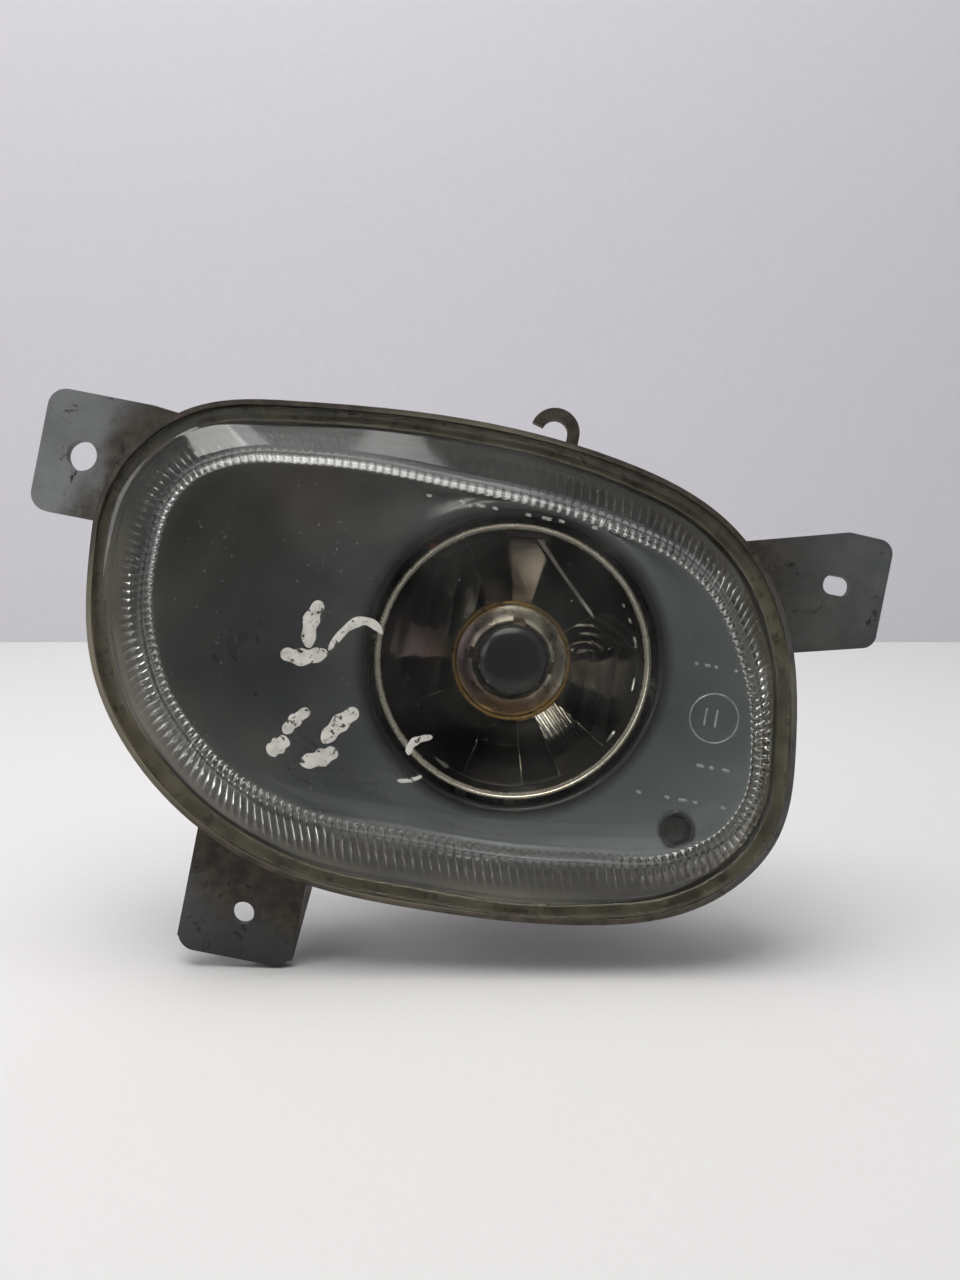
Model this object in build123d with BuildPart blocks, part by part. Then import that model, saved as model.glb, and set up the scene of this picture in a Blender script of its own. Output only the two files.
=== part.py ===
"""Fog light of a car's front bumper, as an assembly of separate pieces.

Frame: the origin is the centre of the left ear's round hole, on the ear's front face. X runs to the
right seen from the front, Y runs to the rear along the optical axis, and Z is up. A depth is a
distance behind the rim plane, where the lens flange meets the housing; in front of it is negative.
"""
import os
from math import cos, radians, sin, tan

from build123d import *

os.makedirs("parts", exist_ok=True)

# ---- Driving dimensions, millimetres ----
OPTIC_X = 124.6            # optical axis, from the left ear's hole
OPTIC_Z = -32.2
EAR_FACE = 6.0             # depth of the ears' front faces
EAR_THICKNESS = 4.0
EAR_BACK = EAR_FACE + EAR_THICKNESS
PAD_RADIUS = 7.0           # seat pads on the backs of the ears
PAD_HEIGHT = 0.5
LEFT_HOLE = (-OPTIC_X, -OPTIC_Z)
RIGHT_SLOT = (82.3, 36.6)
BOTTOM_HOLE = (-58.3, -80.8)
LEFT_HOLE_RADIUS = 4.15
BOTTOM_HOLE_RADIUS = 3.05
SLOT_SIZE = (7.5, 5.3)
SLOT_CORNER = 2.4
HOOK_CENTRE = (-0.3, 62.8)
HOOK_RADIUS = 5.1
HOOK_WIDTH = 3.2
EAR_WEB = 2.4              # thickness of the webs behind the ears

# Outlines seen from the front, from the optical axis, as matched points on two closed curves.
RIM = [(-115.7, 13), (-110, 35.5), (-96.3, 49.3), (-70, 56.4), (-25, 60.4), (18, 57.5), (50, 46.3),
       (69, 24.5), (77.8, -8), (77.8, -32.5), (63, -53), (32, -64.9), (-12, -69.1), (-55, -66),
       (-90, -47.5), (-108, -24.5)]
FACE = [(-98.8, 11), (-95, 28.5), (-84.5, 37.6), (-62, 42.9), (-24, 43.9), (18, 41.2), (44, 32.8),
        (59.5, 14.5), (68, -9), (67.2, -28), (55.5, -41), (26, -48.3), (-16, -51.2), (-56, -48.8),
        (-80, -35), (-94, -15.5)]

GUTTER_FRONT = -3.0        # front edge of the gutter that holds the lens
GUTTER_FLOOR = 1.0
GUTTER_WALL = 1.3
GUTTER_WIDTH = 6.0
TRAY_FLOOR = 15.0          # front of the tray's back wall
WALL = 2.5
TRAY_BACK = TRAY_FLOOR + WALL
TRAY_TAPER = 9.0           # how far the tray draws in, from the rim to its back

LENS_POLE = -20.0          # foremost point of the lens
LENS_CROWN = 900.0         # radius of its shallow dome
LENS_WALL = 3.0
FLANGE_FRONT = -2.5        # lens flange, from here to the rim plane
FLANGE_GAP = 0.4           # between the flange's edge and the gutter wall
SKIRT_INSET = 5.5          # foot of the lens skirt, from the rim outline

DRUM_RADIUS = 46.0         # housing behind the reflector, where it leaves the tray
DRUM_REAR_RADIUS = 39.0
DRUM_TAPER = (21.0, 27.0)  # depths between which the drum narrows
DRUM_BACK = 40.0
NECK_RADIUS = 31.0         # service opening that the rear cap closes
NECK_BACK = 54.0

FOCAL_LENGTH = 15.0
REFLECTOR_RADIUS = 35.1    # aperture of the mirrored bowl
BULB_HOLE_RADIUS = 15.0
SEAT_DEPTH = 16.0          # front of the bulb hole
HOLDER_DEPTH = 24.0        # back of the reflector's neck
VERTEX_DEPTH = REFLECTOR_RADIUS**2 / (4 * FOCAL_LENGTH)

TILT_DEPTH = 11.0          # aiming axis, level, through the optical axis
PIN_RADIUS = 2.5
BUSH_RADIUS = 4.0
POST_INNER = 40.5          # pivot posts, from the optical axis
POST_OUTER = 49.5
POST_HALF_HEIGHT = 8.0
POST_FRONT = TILT_DEPTH - 5.5

SCREW_Z = -48.0            # aiming screw, below the optical axis
SCREW_RADIUS = 2.5
SHANK_RADIUS = 3.0
NUT_SIZE = 10.0
TRUNNION_RADIUS = 2.0
FORK_INNER = 5.3
FORK_OUTER = 8.3
TOWER_BACK = 27.5          # inside face of the tower that carries the screw
TOWER_INSIDE_X = (-9.5, 9.5)
TOWER_INSIDE_Z = (-55.5, -36)
BUSH_SPIGOT_RADIUS = 5.0
RUNNING_GAP = 0.05

CLIP_HINGE_Z = 13.2
CLIP_LATCH_Z = -12.4
CLIP_WIRE_RADIUS = 0.7
CLIP_DEPTH = 26.95
CLIP_LEG_X = 7.7

BEZEL_FRONT = -5.0
BEZEL_THICKNESS = 2.0
COLLAR_RADIUS = 38.2       # bezel opening round the reflector
COLLAR_BACK = 1.0
BEZEL_SCREW = (50.6, -35.4)
BEZEL_POSTS = [(-86, -14), (-80, 27), (43, 24)]
CUP_RADIUS = 5.0           # cup round the bezel's screw, and the post behind it
CUP_FLOOR = 1.5
CUP_BACK = 3.0
TAPPING_RADIUS = 1.2

CONNECTOR = (-72.0, 5.0)
SPIGOT_SIZE = (14.0, 9.0)  # part of the socket that goes through the tray
SPIGOT_CORNER = 1.5
BREATHER = (58.5, -8.0)
BREATHER_BORE = 1.8
NIPPLE_RADIUS = 3.2
NIPPLE_BACK = 25.0
LEAD_RADIUS = 1.0


# ---- Planes and outlines ----
def front(depth):
    """Plane square to the optical axis at a depth, facing forwards."""
    return Plane(origin=(OPTIC_X, depth - EAR_FACE, OPTIC_Z), x_dir=(1, 0, 0), z_dir=(0, -1, 0))


def turning_plane(x=0.0, z=0.0, angle=0.0):
    """Plane of a turned section, local X the radius and local Y the depth."""
    across = (cos(radians(angle)), 0, sin(radians(angle)))
    normal = (-sin(radians(angle)), 0, cos(radians(angle)))
    return Plane(origin=(OPTIC_X + x, -EAR_FACE, OPTIC_Z + z), x_dir=across, z_dir=normal)


def turning_axis(x=0.0, z=0.0):
    """Axis along Y, offset from the optical axis."""
    return Axis((OPTIC_X + x, 0, OPTIC_Z + z), (0, 1, 0))


def side(x):
    """Plane facing +X at a distance from the optical axis, local X the depth and local Y up."""
    return Plane(origin=(OPTIC_X + x, -EAR_FACE, OPTIC_Z), x_dir=(0, 1, 0), z_dir=(1, 0, 0))


def inset(loop, amount):
    """The same loop of points, each moved square to the curve through them, inwards if positive."""
    curve = Spline(*loop, periodic=True, mode=Mode.PRIVATE)
    moved = []
    for point in loop:
        along = curve.tangent_at(curve.param_at_point(Vector(*point)))
        moved.append((point[0] + along.Y * amount, point[1] - along.X * amount))
    return moved


def loop_slab(loop, near, far):
    """Straight-sided solid of a loop between two depths."""
    with BuildPart() as slab:
        with BuildSketch(front(far)):
            with BuildLine():
                Spline(*loop, periodic=True)
            make_face()
        extrude(amount=far - near)
    return slab.part


def loop_loft(near_loop, near, far_loop, far):
    """Solid between two loops at two depths."""
    with BuildPart() as body:
        for depth, loop in ((near, near_loop), (far, far_loop)):
            with BuildSketch(front(depth)):
                with BuildLine():
                    Spline(*loop, periodic=True)
                make_face()
        loft()
    return body.part


def turned(points, x=0.0, z=0.0):
    """Solid turned about an axis along Y from its section, as (radius, depth) points."""
    with BuildPart() as body:
        with BuildSketch(turning_plane(x, z)):
            with BuildLine():
                Polyline(*points, close=True)
            make_face()
        revolve(axis=turning_axis(x, z))
    return body.part


def ring(inner, outer, near, far, x=0.0, z=0.0):
    """Ring or disc about an axis along Y, between two depths."""
    return turned([(inner, near), (outer, near), (outer, far), (inner, far)], x, z)


def block(x_span, z_span, depth_span):
    """Rectangular block between limits measured from the optical axis."""
    width = x_span[1] - x_span[0]
    height = z_span[1] - z_span[0]
    with BuildPart() as body:
        with BuildSketch(front(depth_span[1])):
            with Locations(((x_span[0] + x_span[1]) / 2, (z_span[0] + z_span[1]) / 2)):
                Rectangle(width, height)
        extrude(amount=depth_span[1] - depth_span[0])
    return body.part


def at(x, z, depth):
    """Point in the frame from its place about the optical axis."""
    return Vector(OPTIC_X + x, depth - EAR_FACE, OPTIC_Z + z)


def wire(points, radius, bend=0.45):
    """Round wire along straight runs joined by tangent arcs."""
    path_points = [at(*point) for point in points]
    radii = []
    for before, here, after in zip(path_points, path_points[1:], path_points[2:]):
        turn = radians((here - before).get_angle(after - here))
        shorter = min((here - before).length, (after - here).length)
        radii.append(bend * shorter / tan(turn / 2))
    with BuildPart() as body:
        with BuildLine() as path:
            FilletPolyline(*path_points, radius=radii)
        with BuildSketch(Plane(origin=path.line @ 0, z_dir=path.line % 0)):
            Circle(radius)
        sweep()
    return body.part


def parabola_depth(radius):
    """Depth of the mirrored surface at a radius."""
    return VERTEX_DEPTH - radius**2 / (4 * FOCAL_LENGTH)


def finish(piece, name):
    """Labels a piece and writes it out under its node name."""
    piece.part.label = name
    export_step(piece.part, f"parts/{name}.step")


# ---- Housing ----
def ear_plate(points, corner_radius, corner_axis):
    """Flat mounting ear, its outermost corners rounded."""
    with BuildPart() as plate:
        with BuildSketch(front(EAR_BACK)) as outline:
            with BuildLine():
                Polyline(*points, close=True)
            make_face()
            fillet(outline.vertices().sort_by(corner_axis)[:2], corner_radius)
        extrude(amount=EAR_THICKNESS)
    return plate.part


def gusset(x, thickness, points):
    """Upright web behind an ear, from its section as (depth, height) points."""
    with BuildPart() as web:
        with BuildSketch(side(x)):
            with BuildLine():
                Polyline(*points, close=True)
            make_face()
        extrude(amount=thickness)
    return web.part


def seat_pad(hole_place):
    """Raised pad on the back of an ear, where it meets its bracket."""
    return ring(0, PAD_RADIUS, EAR_BACK, EAR_BACK + PAD_HEIGHT, *hole_place)


def drum_section(inwards, back):
    """Section of the stepped drum, or of its cavity one wall further in."""
    front_radius = DRUM_RADIUS - inwards
    rear_radius = DRUM_REAR_RADIUS - inwards
    return [(0, TRAY_BACK), (front_radius, TRAY_BACK), (front_radius, DRUM_TAPER[0]),
            (rear_radius, DRUM_TAPER[1]), (rear_radius, back), (0, back)]


tray_back_loop = inset(RIM, TRAY_TAPER)
cavity_back_loop = inset(RIM, TRAY_TAPER + WALL)
gutter_back = GUTTER_FLOOR + 2

with BuildPart() as tray_form:
    add(loop_slab(RIM, GUTTER_FRONT, gutter_back))
    add(loop_loft(inset(RIM, WALL), gutter_back, tray_back_loop, TRAY_BACK))

with BuildPart() as housing:
    add(tray_form.part)
    add(loop_slab(inset(RIM, GUTTER_WALL), GUTTER_FRONT, GUTTER_FLOOR), mode=Mode.SUBTRACT)
    add(loop_loft(inset(RIM, GUTTER_WIDTH), GUTTER_FLOOR, cavity_back_loop, TRAY_FLOOR), mode=Mode.SUBTRACT)
    # Ways through to the rear chamber, for the reflector and for the aiming screw.
    add(ring(0, DRUM_RADIUS - WALL, TRAY_FLOOR, TRAY_BACK), mode=Mode.SUBTRACT)
    add(block(TOWER_INSIDE_X, TOWER_INSIDE_Z, (TRAY_FLOOR, TRAY_BACK)), mode=Mode.SUBTRACT)
    # Posts for the pivot bushes and for the bezel.
    for x_span in ((-POST_OUTER, -POST_INNER), (POST_INNER, POST_OUTER)):
        add(block(x_span, (-POST_HALF_HEIGHT, POST_HALF_HEIGHT), (POST_FRONT, TRAY_BACK)))
    for x, z in BEZEL_POSTS:
        add(ring(0, 3, BEZEL_FRONT + BEZEL_THICKNESS, TRAY_FLOOR + 1, x, z))
    add(ring(0, CUP_RADIUS, CUP_BACK, TRAY_FLOOR + 1, *BEZEL_SCREW))
    # Bores.
    with BuildSketch(side(-POST_OUTER - 1)):
        with Locations((TILT_DEPTH, 0)):
            Circle(BUSH_RADIUS)
    extrude(amount=2 * POST_OUTER + 2, mode=Mode.SUBTRACT)
    add(ring(0, TAPPING_RADIUS, CUP_BACK, CUP_BACK + 10, *BEZEL_SCREW), mode=Mode.SUBTRACT)
    with BuildSketch(front(TRAY_BACK)):
        with Locations(CONNECTOR):
            RectangleRounded(*SPIGOT_SIZE, SPIGOT_CORNER)
        with Locations(BREATHER):
            Circle(BREATHER_BORE)
    extrude(amount=WALL, mode=Mode.SUBTRACT)
    add(ring(BREATHER_BORE, NIPPLE_RADIUS, TRAY_BACK, NIPPLE_BACK, *BREATHER))
finish(housing, "housing")

with BuildPart() as rear_chamber:
    add(turned(drum_section(0, DRUM_BACK)))
    add(ring(0, NECK_RADIUS, DRUM_BACK, NECK_BACK))
    add(block((-12, 12), (-58, -36), (TRAY_BACK, TOWER_BACK + WALL)))
    add(turned(drum_section(WALL, DRUM_BACK - WALL)), mode=Mode.SUBTRACT)
    add(ring(0, NECK_RADIUS - WALL, DRUM_BACK - WALL, NECK_BACK), mode=Mode.SUBTRACT)
    add(block(TOWER_INSIDE_X, TOWER_INSIDE_Z, (TRAY_BACK, TOWER_BACK)), mode=Mode.SUBTRACT)
    add(ring(0, BUSH_SPIGOT_RADIUS, TOWER_BACK, TOWER_BACK + WALL, 0, SCREW_Z), mode=Mode.SUBTRACT)
finish(rear_chamber, "rear_chamber")

# Ears: a plate with a seat pad and webs behind, cut to the tray and then bored.
with BuildPart() as left_ear:
    add(ear_plate([(-136.2, 15.6), (-110, 15.6), (-92, 40), (-97.6, 48.1), (-108, 49.2), (-136.2, 49.2)],
                  5, Axis.X))
    for height in (18.5, 45.5):
        add(block((-132, -102), (height - EAR_WEB / 2, height + EAR_WEB / 2), (EAR_FACE + 1, EAR_BACK + 5)))
    add(seat_pad(LEFT_HOLE))
    add(tray_form.part, mode=Mode.SUBTRACT)
    add(ring(0, LEFT_HOLE_RADIUS, EAR_FACE, EAR_BACK + PAD_HEIGHT, *LEFT_HOLE), mode=Mode.SUBTRACT)
finish(left_ear, "left_ear")

with BuildPart() as right_ear:
    add(ear_plate([(95.3, 22.1), (95.5, 51.0), (83, 51.4), (52, 42.6), (62, 20), (72.5, 16.1)], 4, -Axis.X))
    for height in (24, 47):
        add(block((74, 90), (height - EAR_WEB / 2, height + EAR_WEB / 2), (EAR_FACE + 1, EAR_BACK + 4)))
    add(seat_pad(RIGHT_SLOT))
    add(tray_form.part, mode=Mode.SUBTRACT)
    with BuildSketch(front(EAR_BACK + PAD_HEIGHT)):
        with Locations(RIGHT_SLOT):
            RectangleRounded(*SLOT_SIZE, SLOT_CORNER)
    extrude(amount=EAR_THICKNESS + PAD_HEIGHT, mode=Mode.SUBTRACT)
finish(right_ear, "right_ear")

with BuildPart() as bottom_ear:
    add(ear_plate([(-74.6, -93.2), (-43, -93.2), (-43, -60), (-74.6, -52)], 5, Axis.Y))
    add(gusset(-74.6, EAR_WEB, [(EAR_FACE, -90), (EAR_BACK, -90), (EAR_BACK + 9, -64), (EAR_BACK + 5, -56),
                                (EAR_FACE, -56)]))
    add(gusset(-43 - EAR_WEB, EAR_WEB, [(EAR_FACE, -91), (EAR_BACK, -91), (36, -69), (36, -62),
                                        (TRAY_BACK, -56), (EAR_FACE, -56)]))
    add(seat_pad(BOTTOM_HOLE))
    add(tray_form.part, mode=Mode.SUBTRACT)
    add(ring(0, BOTTOM_HOLE_RADIUS, EAR_FACE, EAR_BACK + PAD_HEIGHT, *BOTTOM_HOLE), mode=Mode.SUBTRACT)
finish(bottom_ear, "bottom_ear")

with BuildPart() as harness_hook:
    with BuildSketch(front(EAR_BACK + 1)):
        with BuildLine():
            Line((HOOK_CENTRE[0] + HOOK_RADIUS, 50), (HOOK_CENTRE[0] + HOOK_RADIUS, HOOK_CENTRE[1]))
            CenterArc(HOOK_CENTRE, HOOK_RADIUS, 0, 165)
        trace(line_width=HOOK_WIDTH)
    extrude(amount=EAR_THICKNESS)
    add(tray_form.part, mode=Mode.SUBTRACT)
finish(harness_hook, "harness_hook")


# ---- Lens and its bond ----
with BuildPart() as lens_outside:
    add(loop_loft(inset(RIM, SKIRT_INSET), FLANGE_FRONT, inset(FACE, 0.6), LENS_POLE - 1))
    with Locations(at(-16, -4, LENS_POLE + LENS_CROWN)):
        Sphere(LENS_CROWN, mode=Mode.INTERSECT)
with BuildPart() as lens_inside:
    add(loop_loft(inset(RIM, SKIRT_INSET + LENS_WALL), 0, inset(FACE, 0.6 + LENS_WALL), LENS_POLE - 1))
    with Locations(at(-16, -4, LENS_POLE + LENS_CROWN)):
        Sphere(LENS_CROWN - LENS_WALL, mode=Mode.INTERSECT)
with BuildPart() as lens:
    add(lens_outside.part)
    add(loop_slab(inset(RIM, GUTTER_WALL + FLANGE_GAP), FLANGE_FRONT, 0))
    add(lens_inside.part, mode=Mode.SUBTRACT)
finish(lens, "lens")

with BuildPart() as lens_seal:
    add(loop_slab(inset(RIM, GUTTER_WALL), FLANGE_FRONT + 1, GUTTER_FLOOR))
    add(loop_slab(inset(RIM, GUTTER_WIDTH + 0.2), FLANGE_FRONT, GUTTER_FLOOR), mode=Mode.SUBTRACT)
    add(loop_slab(inset(RIM, GUTTER_WALL + FLANGE_GAP), FLANGE_FRONT, 0), mode=Mode.SUBTRACT)
finish(lens_seal, "lens_seal")

# ---- Bezel ----
bezel_back = BEZEL_FRONT + BEZEL_THICKNESS
with BuildPart() as bezel:
    add(loop_slab(FACE, BEZEL_FRONT, bezel_back + 2))
    add(loop_slab(inset(FACE, 2), bezel_back, bezel_back + 2), mode=Mode.SUBTRACT)
    add(ring(COLLAR_RADIUS, COLLAR_RADIUS + 1.6, BEZEL_FRONT, COLLAR_BACK))
    add(ring(0, COLLAR_RADIUS, BEZEL_FRONT, COLLAR_BACK), mode=Mode.SUBTRACT)
    add(ring(0, CUP_RADIUS, BEZEL_FRONT, CUP_BACK, *BEZEL_SCREW))
    add(ring(0, 3.8, BEZEL_FRONT, CUP_FLOOR, *BEZEL_SCREW), mode=Mode.SUBTRACT)
    add(ring(0, 1.6, CUP_FLOOR, CUP_BACK, *BEZEL_SCREW), mode=Mode.SUBTRACT)
    fillet(bezel.faces().filter_by(Plane.XZ).sort_by(Axis.Y)[0].outer_wire().edges(), 1.2)
finish(bezel, "bezel")

with BuildPart() as bezel_screw:
    add(turned([(0, 0.7), (0.7, 0), (3.0, 0), (3.0, CUP_FLOOR), (TAPPING_RADIUS, CUP_FLOOR),
                (TAPPING_RADIUS, 12), (0, 13)], *BEZEL_SCREW))
finish(bezel_screw, "bezel_screw")

# ---- Reflector, its pivots and its fork ----
RIVET_PLACES = [(18.8 * cos(radians(angle)), 18.8 * sin(radians(angle))) for angle in (90, 210, 330)]
curve_radii = [REFLECTOR_RADIUS, 29, 22, BULB_HOLE_RADIUS]
mirror_curve = [(radius, parabola_depth(radius)) for radius in curve_radii]

with BuildPart() as reflector:
    with BuildSketch(turning_plane()):
        with BuildLine():
            Polyline((REFLECTOR_RADIUS, 0), (REFLECTOR_RADIUS, -2), (36.5, -2), (36.5, 1.0))
            Spline((36.5, 1.0), (30.8, 6.2), (23.8, 12.9), (16.6, 17.8))
            Polyline((16.6, 17.8), (16.6, 22), (21, 22), (21, HOLDER_DEPTH),
                     (BULB_HOLE_RADIUS, HOLDER_DEPTH), (BULB_HOLE_RADIUS, parabola_depth(BULB_HOLE_RADIUS)))
            Spline(*mirror_curve)
        make_face()
    revolve(axis=turning_axis())
    # Side bosses for the pivot pins.
    for x_span in ((-37, -20), (20, 37)):
        with BuildSketch(side(x_span[0])):
            with Locations((TILT_DEPTH, 0)):
                Circle(5)
        extrude(amount=x_span[1] - x_span[0])
    # Fork that holds the aiming nut.
    for x_span in ((-FORK_OUTER, -FORK_INNER), (FORK_INNER, FORK_OUTER)):
        add(block(x_span, (-51.5, -20), (6.8, 15.2)))
    with BuildSketch(turning_plane()):
        with BuildLine():
            Spline(*mirror_curve)
            Polyline(mirror_curve[-1], (0, mirror_curve[-1][1]), (0, -2), (REFLECTOR_RADIUS, -2),
                     mirror_curve[0])
        make_face()
    revolve(axis=turning_axis(), mode=Mode.SUBTRACT)
    add(ring(0, BULB_HOLE_RADIUS, SEAT_DEPTH, HOLDER_DEPTH), mode=Mode.SUBTRACT)
    slot_width = 2 * (TRUNNION_RADIUS + RUNNING_GAP)
    add(block((-FORK_OUTER, FORK_OUTER), (-52, SCREW_Z + TRUNNION_RADIUS + 0.3),
              (TILT_DEPTH - slot_width / 2, TILT_DEPTH + slot_width / 2)), mode=Mode.SUBTRACT)
    for x_span in ((-37, -29), (29, 37)):
        with BuildSketch(side(x_span[0])):
            with Locations((TILT_DEPTH, 0)):
                Circle(PIN_RADIUS)
        extrude(amount=x_span[1] - x_span[0], mode=Mode.SUBTRACT)
    for x, z in RIVET_PLACES:
        add(ring(0, 1.2, 22, HOLDER_DEPTH, x, z), mode=Mode.SUBTRACT)
finish(reflector, "reflector")

with BuildPart() as pivot_pins:
    for x_span in ((-48, -29), (29, 48)):
        with BuildSketch(side(x_span[0])):
            with Locations((TILT_DEPTH, 0)):
                Circle(PIN_RADIUS)
        extrude(amount=x_span[1] - x_span[0])
finish(pivot_pins, "pivot_pins")

with BuildPart() as pivot_bushes:
    for x_span in ((-POST_OUTER, -POST_INNER), (POST_INNER, POST_OUTER)):
        with BuildSketch(side(x_span[0])):
            with Locations((TILT_DEPTH, 0)):
                Circle(BUSH_RADIUS)
                Circle(PIN_RADIUS + RUNNING_GAP, mode=Mode.SUBTRACT)
        extrude(amount=x_span[1] - x_span[0])
finish(pivot_bushes, "pivot_bushes")

# ---- Bulb shield ----
SHIELD_ANGLES = (90, 180, 0)
SHIELD_RING = (10.8, 16.3)  # inner and outer radii of the base ring
SHIELD_SHEET = 0.8
SOCKET_RADIUS = 15.0       # short tube that pushes into the bulb hole
CAP_RADIUS = 9.4
CAP_FRONT = -3.0
ring_back = SEAT_DEPTH
ring_front = SEAT_DEPTH - SHIELD_SHEET
tube_inner = SOCKET_RADIUS - SHIELD_SHEET
cap_inner = CAP_RADIUS - SHIELD_SHEET
with BuildPart() as bulb_shield:
    add(turned([(SHIELD_RING[0], ring_front), (SHIELD_RING[1], ring_front), (SHIELD_RING[1], ring_back),
                (SOCKET_RADIUS, ring_back), (SOCKET_RADIUS, 20), (tube_inner, 20), (tube_inner, ring_back),
                (SHIELD_RING[0], ring_back)]))
    for angle in SHIELD_ANGLES:
        with BuildSketch(turning_plane(angle=angle)):
            with BuildLine():
                Polyline((8.8, 1.5), (9.6, 1.5), (12.4, 15.6), (11.6, 15.6), close=True)
            make_face()
        extrude(amount=2, both=True)
    with BuildSketch(turning_plane()):
        with BuildLine():
            Polyline((0, CAP_FRONT), (6.2, CAP_FRONT), (8.8, -2.2), (CAP_RADIUS, -1.2), (CAP_RADIUS, 3),
                     (cap_inner, 3), (cap_inner, -1.0), (6.0, CAP_FRONT + SHIELD_SHEET),
                     (0, CAP_FRONT + SHIELD_SHEET), close=True)
        make_face()
    revolve(axis=turning_axis())
finish(bulb_shield, "bulb_shield")

# ---- Bulb ----
GLASS_RADIUS = 4.4
GLASS_WALL = 0.8
GLASS_TIP = 0.5
GLASS_BACK = 19.0
BASE_SLEEVE = 3.9          # inside radius of the base's metal sleeve
BASE_BACK = 31.0
BLADE_FRONT = 28.0
BLADE_BACK = 38.0
BLADE_HALF = (3.15, 0.4)   # half the width and thickness of the bulb's blade terminal
dome_centre = GLASS_TIP + GLASS_RADIUS
glass_inner = GLASS_RADIUS - GLASS_WALL
blade_x = (-BLADE_HALF[0], BLADE_HALF[0])
blade_z = (-BLADE_HALF[1], BLADE_HALF[1])

with BuildPart() as bulb_glass:
    with BuildSketch(turning_plane()):
        with BuildLine():
            Line((0, GLASS_TIP + GLASS_WALL), (0, GLASS_TIP))
            CenterArc((0, dome_centre), GLASS_RADIUS, -90, 90)
            Polyline((GLASS_RADIUS, dome_centre), (GLASS_RADIUS, GLASS_BACK), (glass_inner, GLASS_BACK),
                     (glass_inner, dome_centre))
            CenterArc((0, dome_centre), glass_inner, -90, 90)
        make_face()
    revolve(axis=turning_axis())
finish(bulb_glass, "bulb_glass")

FILAMENT_DEPTH = VERTEX_DEPTH - FOCAL_LENGTH
with BuildPart() as bulb_filament:
    with BuildSketch(side(-2.6)):
        with Locations((FILAMENT_DEPTH, 0)):
            Circle(0.7)
    extrude(amount=5.2)
    for x in (-2.4, 2.4):
        add(ring(0, 0.35, FILAMENT_DEPTH, GLASS_BACK, x, 0))
    add(ring(0, glass_inner, 17, GLASS_BACK))
finish(bulb_filament, "bulb_filament")

with BuildPart() as bulb_base:
    add(turned([(GLASS_RADIUS, 17.5), (6.5, 17.5), (6.5, 25), (10.5, 25), (10.5, 26.2), (5, 26.2),
                (5, BASE_BACK), (BASE_SLEEVE, BASE_BACK), (BASE_SLEEVE, GLASS_BACK),
                (GLASS_RADIUS, GLASS_BACK)]))
finish(bulb_base, "bulb_base")

with BuildPart() as bulb_insulator:
    add(ring(0, BASE_SLEEVE, GLASS_BACK, BASE_BACK))
    add(block(blade_x, blade_z, (BLADE_FRONT, BASE_BACK)), mode=Mode.SUBTRACT)
finish(bulb_insulator, "bulb_insulator")

with BuildPart() as bulb_terminal:
    add(block(blade_x, blade_z, (BLADE_FRONT, BLADE_BACK)))
finish(bulb_terminal, "bulb_terminal")

BOOT_FRONT = 31.2
LEAD_EXIT = 36.0           # depth at which the live lead leaves the boot
with BuildPart() as terminal_boot:
    add(turned([(0, BOOT_FRONT), (6.2, BOOT_FRONT), (6.2, 39), (4.6, 41), (0, 41)]))
    add(block(blade_x, blade_z, (BOOT_FRONT, BLADE_BACK)), mode=Mode.SUBTRACT)
    with BuildSketch(Plane(origin=at(0, 4, LEAD_EXIT), z_dir=(0, 0, 1))):
        Circle(2)
    extrude(amount=4)
finish(terminal_boot, "terminal_boot")

# ---- Bulb holder plate and spring clip ----
with BuildPart() as bulb_holder:
    add(ring(6.5, 21, HOLDER_DEPTH, HOLDER_DEPTH + 1))
    for x, z in RIVET_PLACES:
        add(ring(0, 1.2, HOLDER_DEPTH, HOLDER_DEPTH + 1, x, z), mode=Mode.SUBTRACT)
    for x_span in ((-11, -9.4), (9.4, 11)):
        add(block(x_span, (CLIP_HINGE_Z - 2, CLIP_HINGE_Z + 2), (HOLDER_DEPTH + 0.5, CLIP_DEPTH + 1.8)))
    with BuildSketch(side(-11)):
        with Locations((CLIP_DEPTH, CLIP_HINGE_Z)):
            Circle(CLIP_WIRE_RADIUS + 0.08)
    extrude(amount=22, mode=Mode.SUBTRACT)
    add(block((-3, 3), (CLIP_LATCH_Z - 2.2, CLIP_LATCH_Z - 1.2), (HOLDER_DEPTH + 0.5, CLIP_DEPTH + 2)))
finish(bulb_holder, "bulb_holder")

with BuildPart() as holder_rivets:
    for x, z in RIVET_PLACES:
        add(ring(0, 1.2, 22, HOLDER_DEPTH + 1, x, z))
        add(ring(0, 1.9, HOLDER_DEPTH + 1, HOLDER_DEPTH + 1.8, x, z))
        add(ring(0, 1.9, 21.2, 22, x, z))
finish(holder_rivets, "holder_rivets")

with BuildPart() as bulb_clip:
    with BuildLine() as clip_path:
        FilletPolyline(at(-12.4, CLIP_HINGE_Z, CLIP_DEPTH), at(-CLIP_LEG_X, CLIP_HINGE_Z, CLIP_DEPTH),
                       at(-CLIP_LEG_X, CLIP_LATCH_Z, CLIP_DEPTH), at(CLIP_LEG_X, CLIP_LATCH_Z, CLIP_DEPTH),
                       at(CLIP_LEG_X, CLIP_HINGE_Z, CLIP_DEPTH), at(12.4, CLIP_HINGE_Z, CLIP_DEPTH),
                       radius=1.5)
    with BuildSketch(Plane(origin=clip_path.line @ 0, z_dir=clip_path.line % 0)):
        Circle(CLIP_WIRE_RADIUS)
    sweep()
finish(bulb_clip, "bulb_clip")

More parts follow.
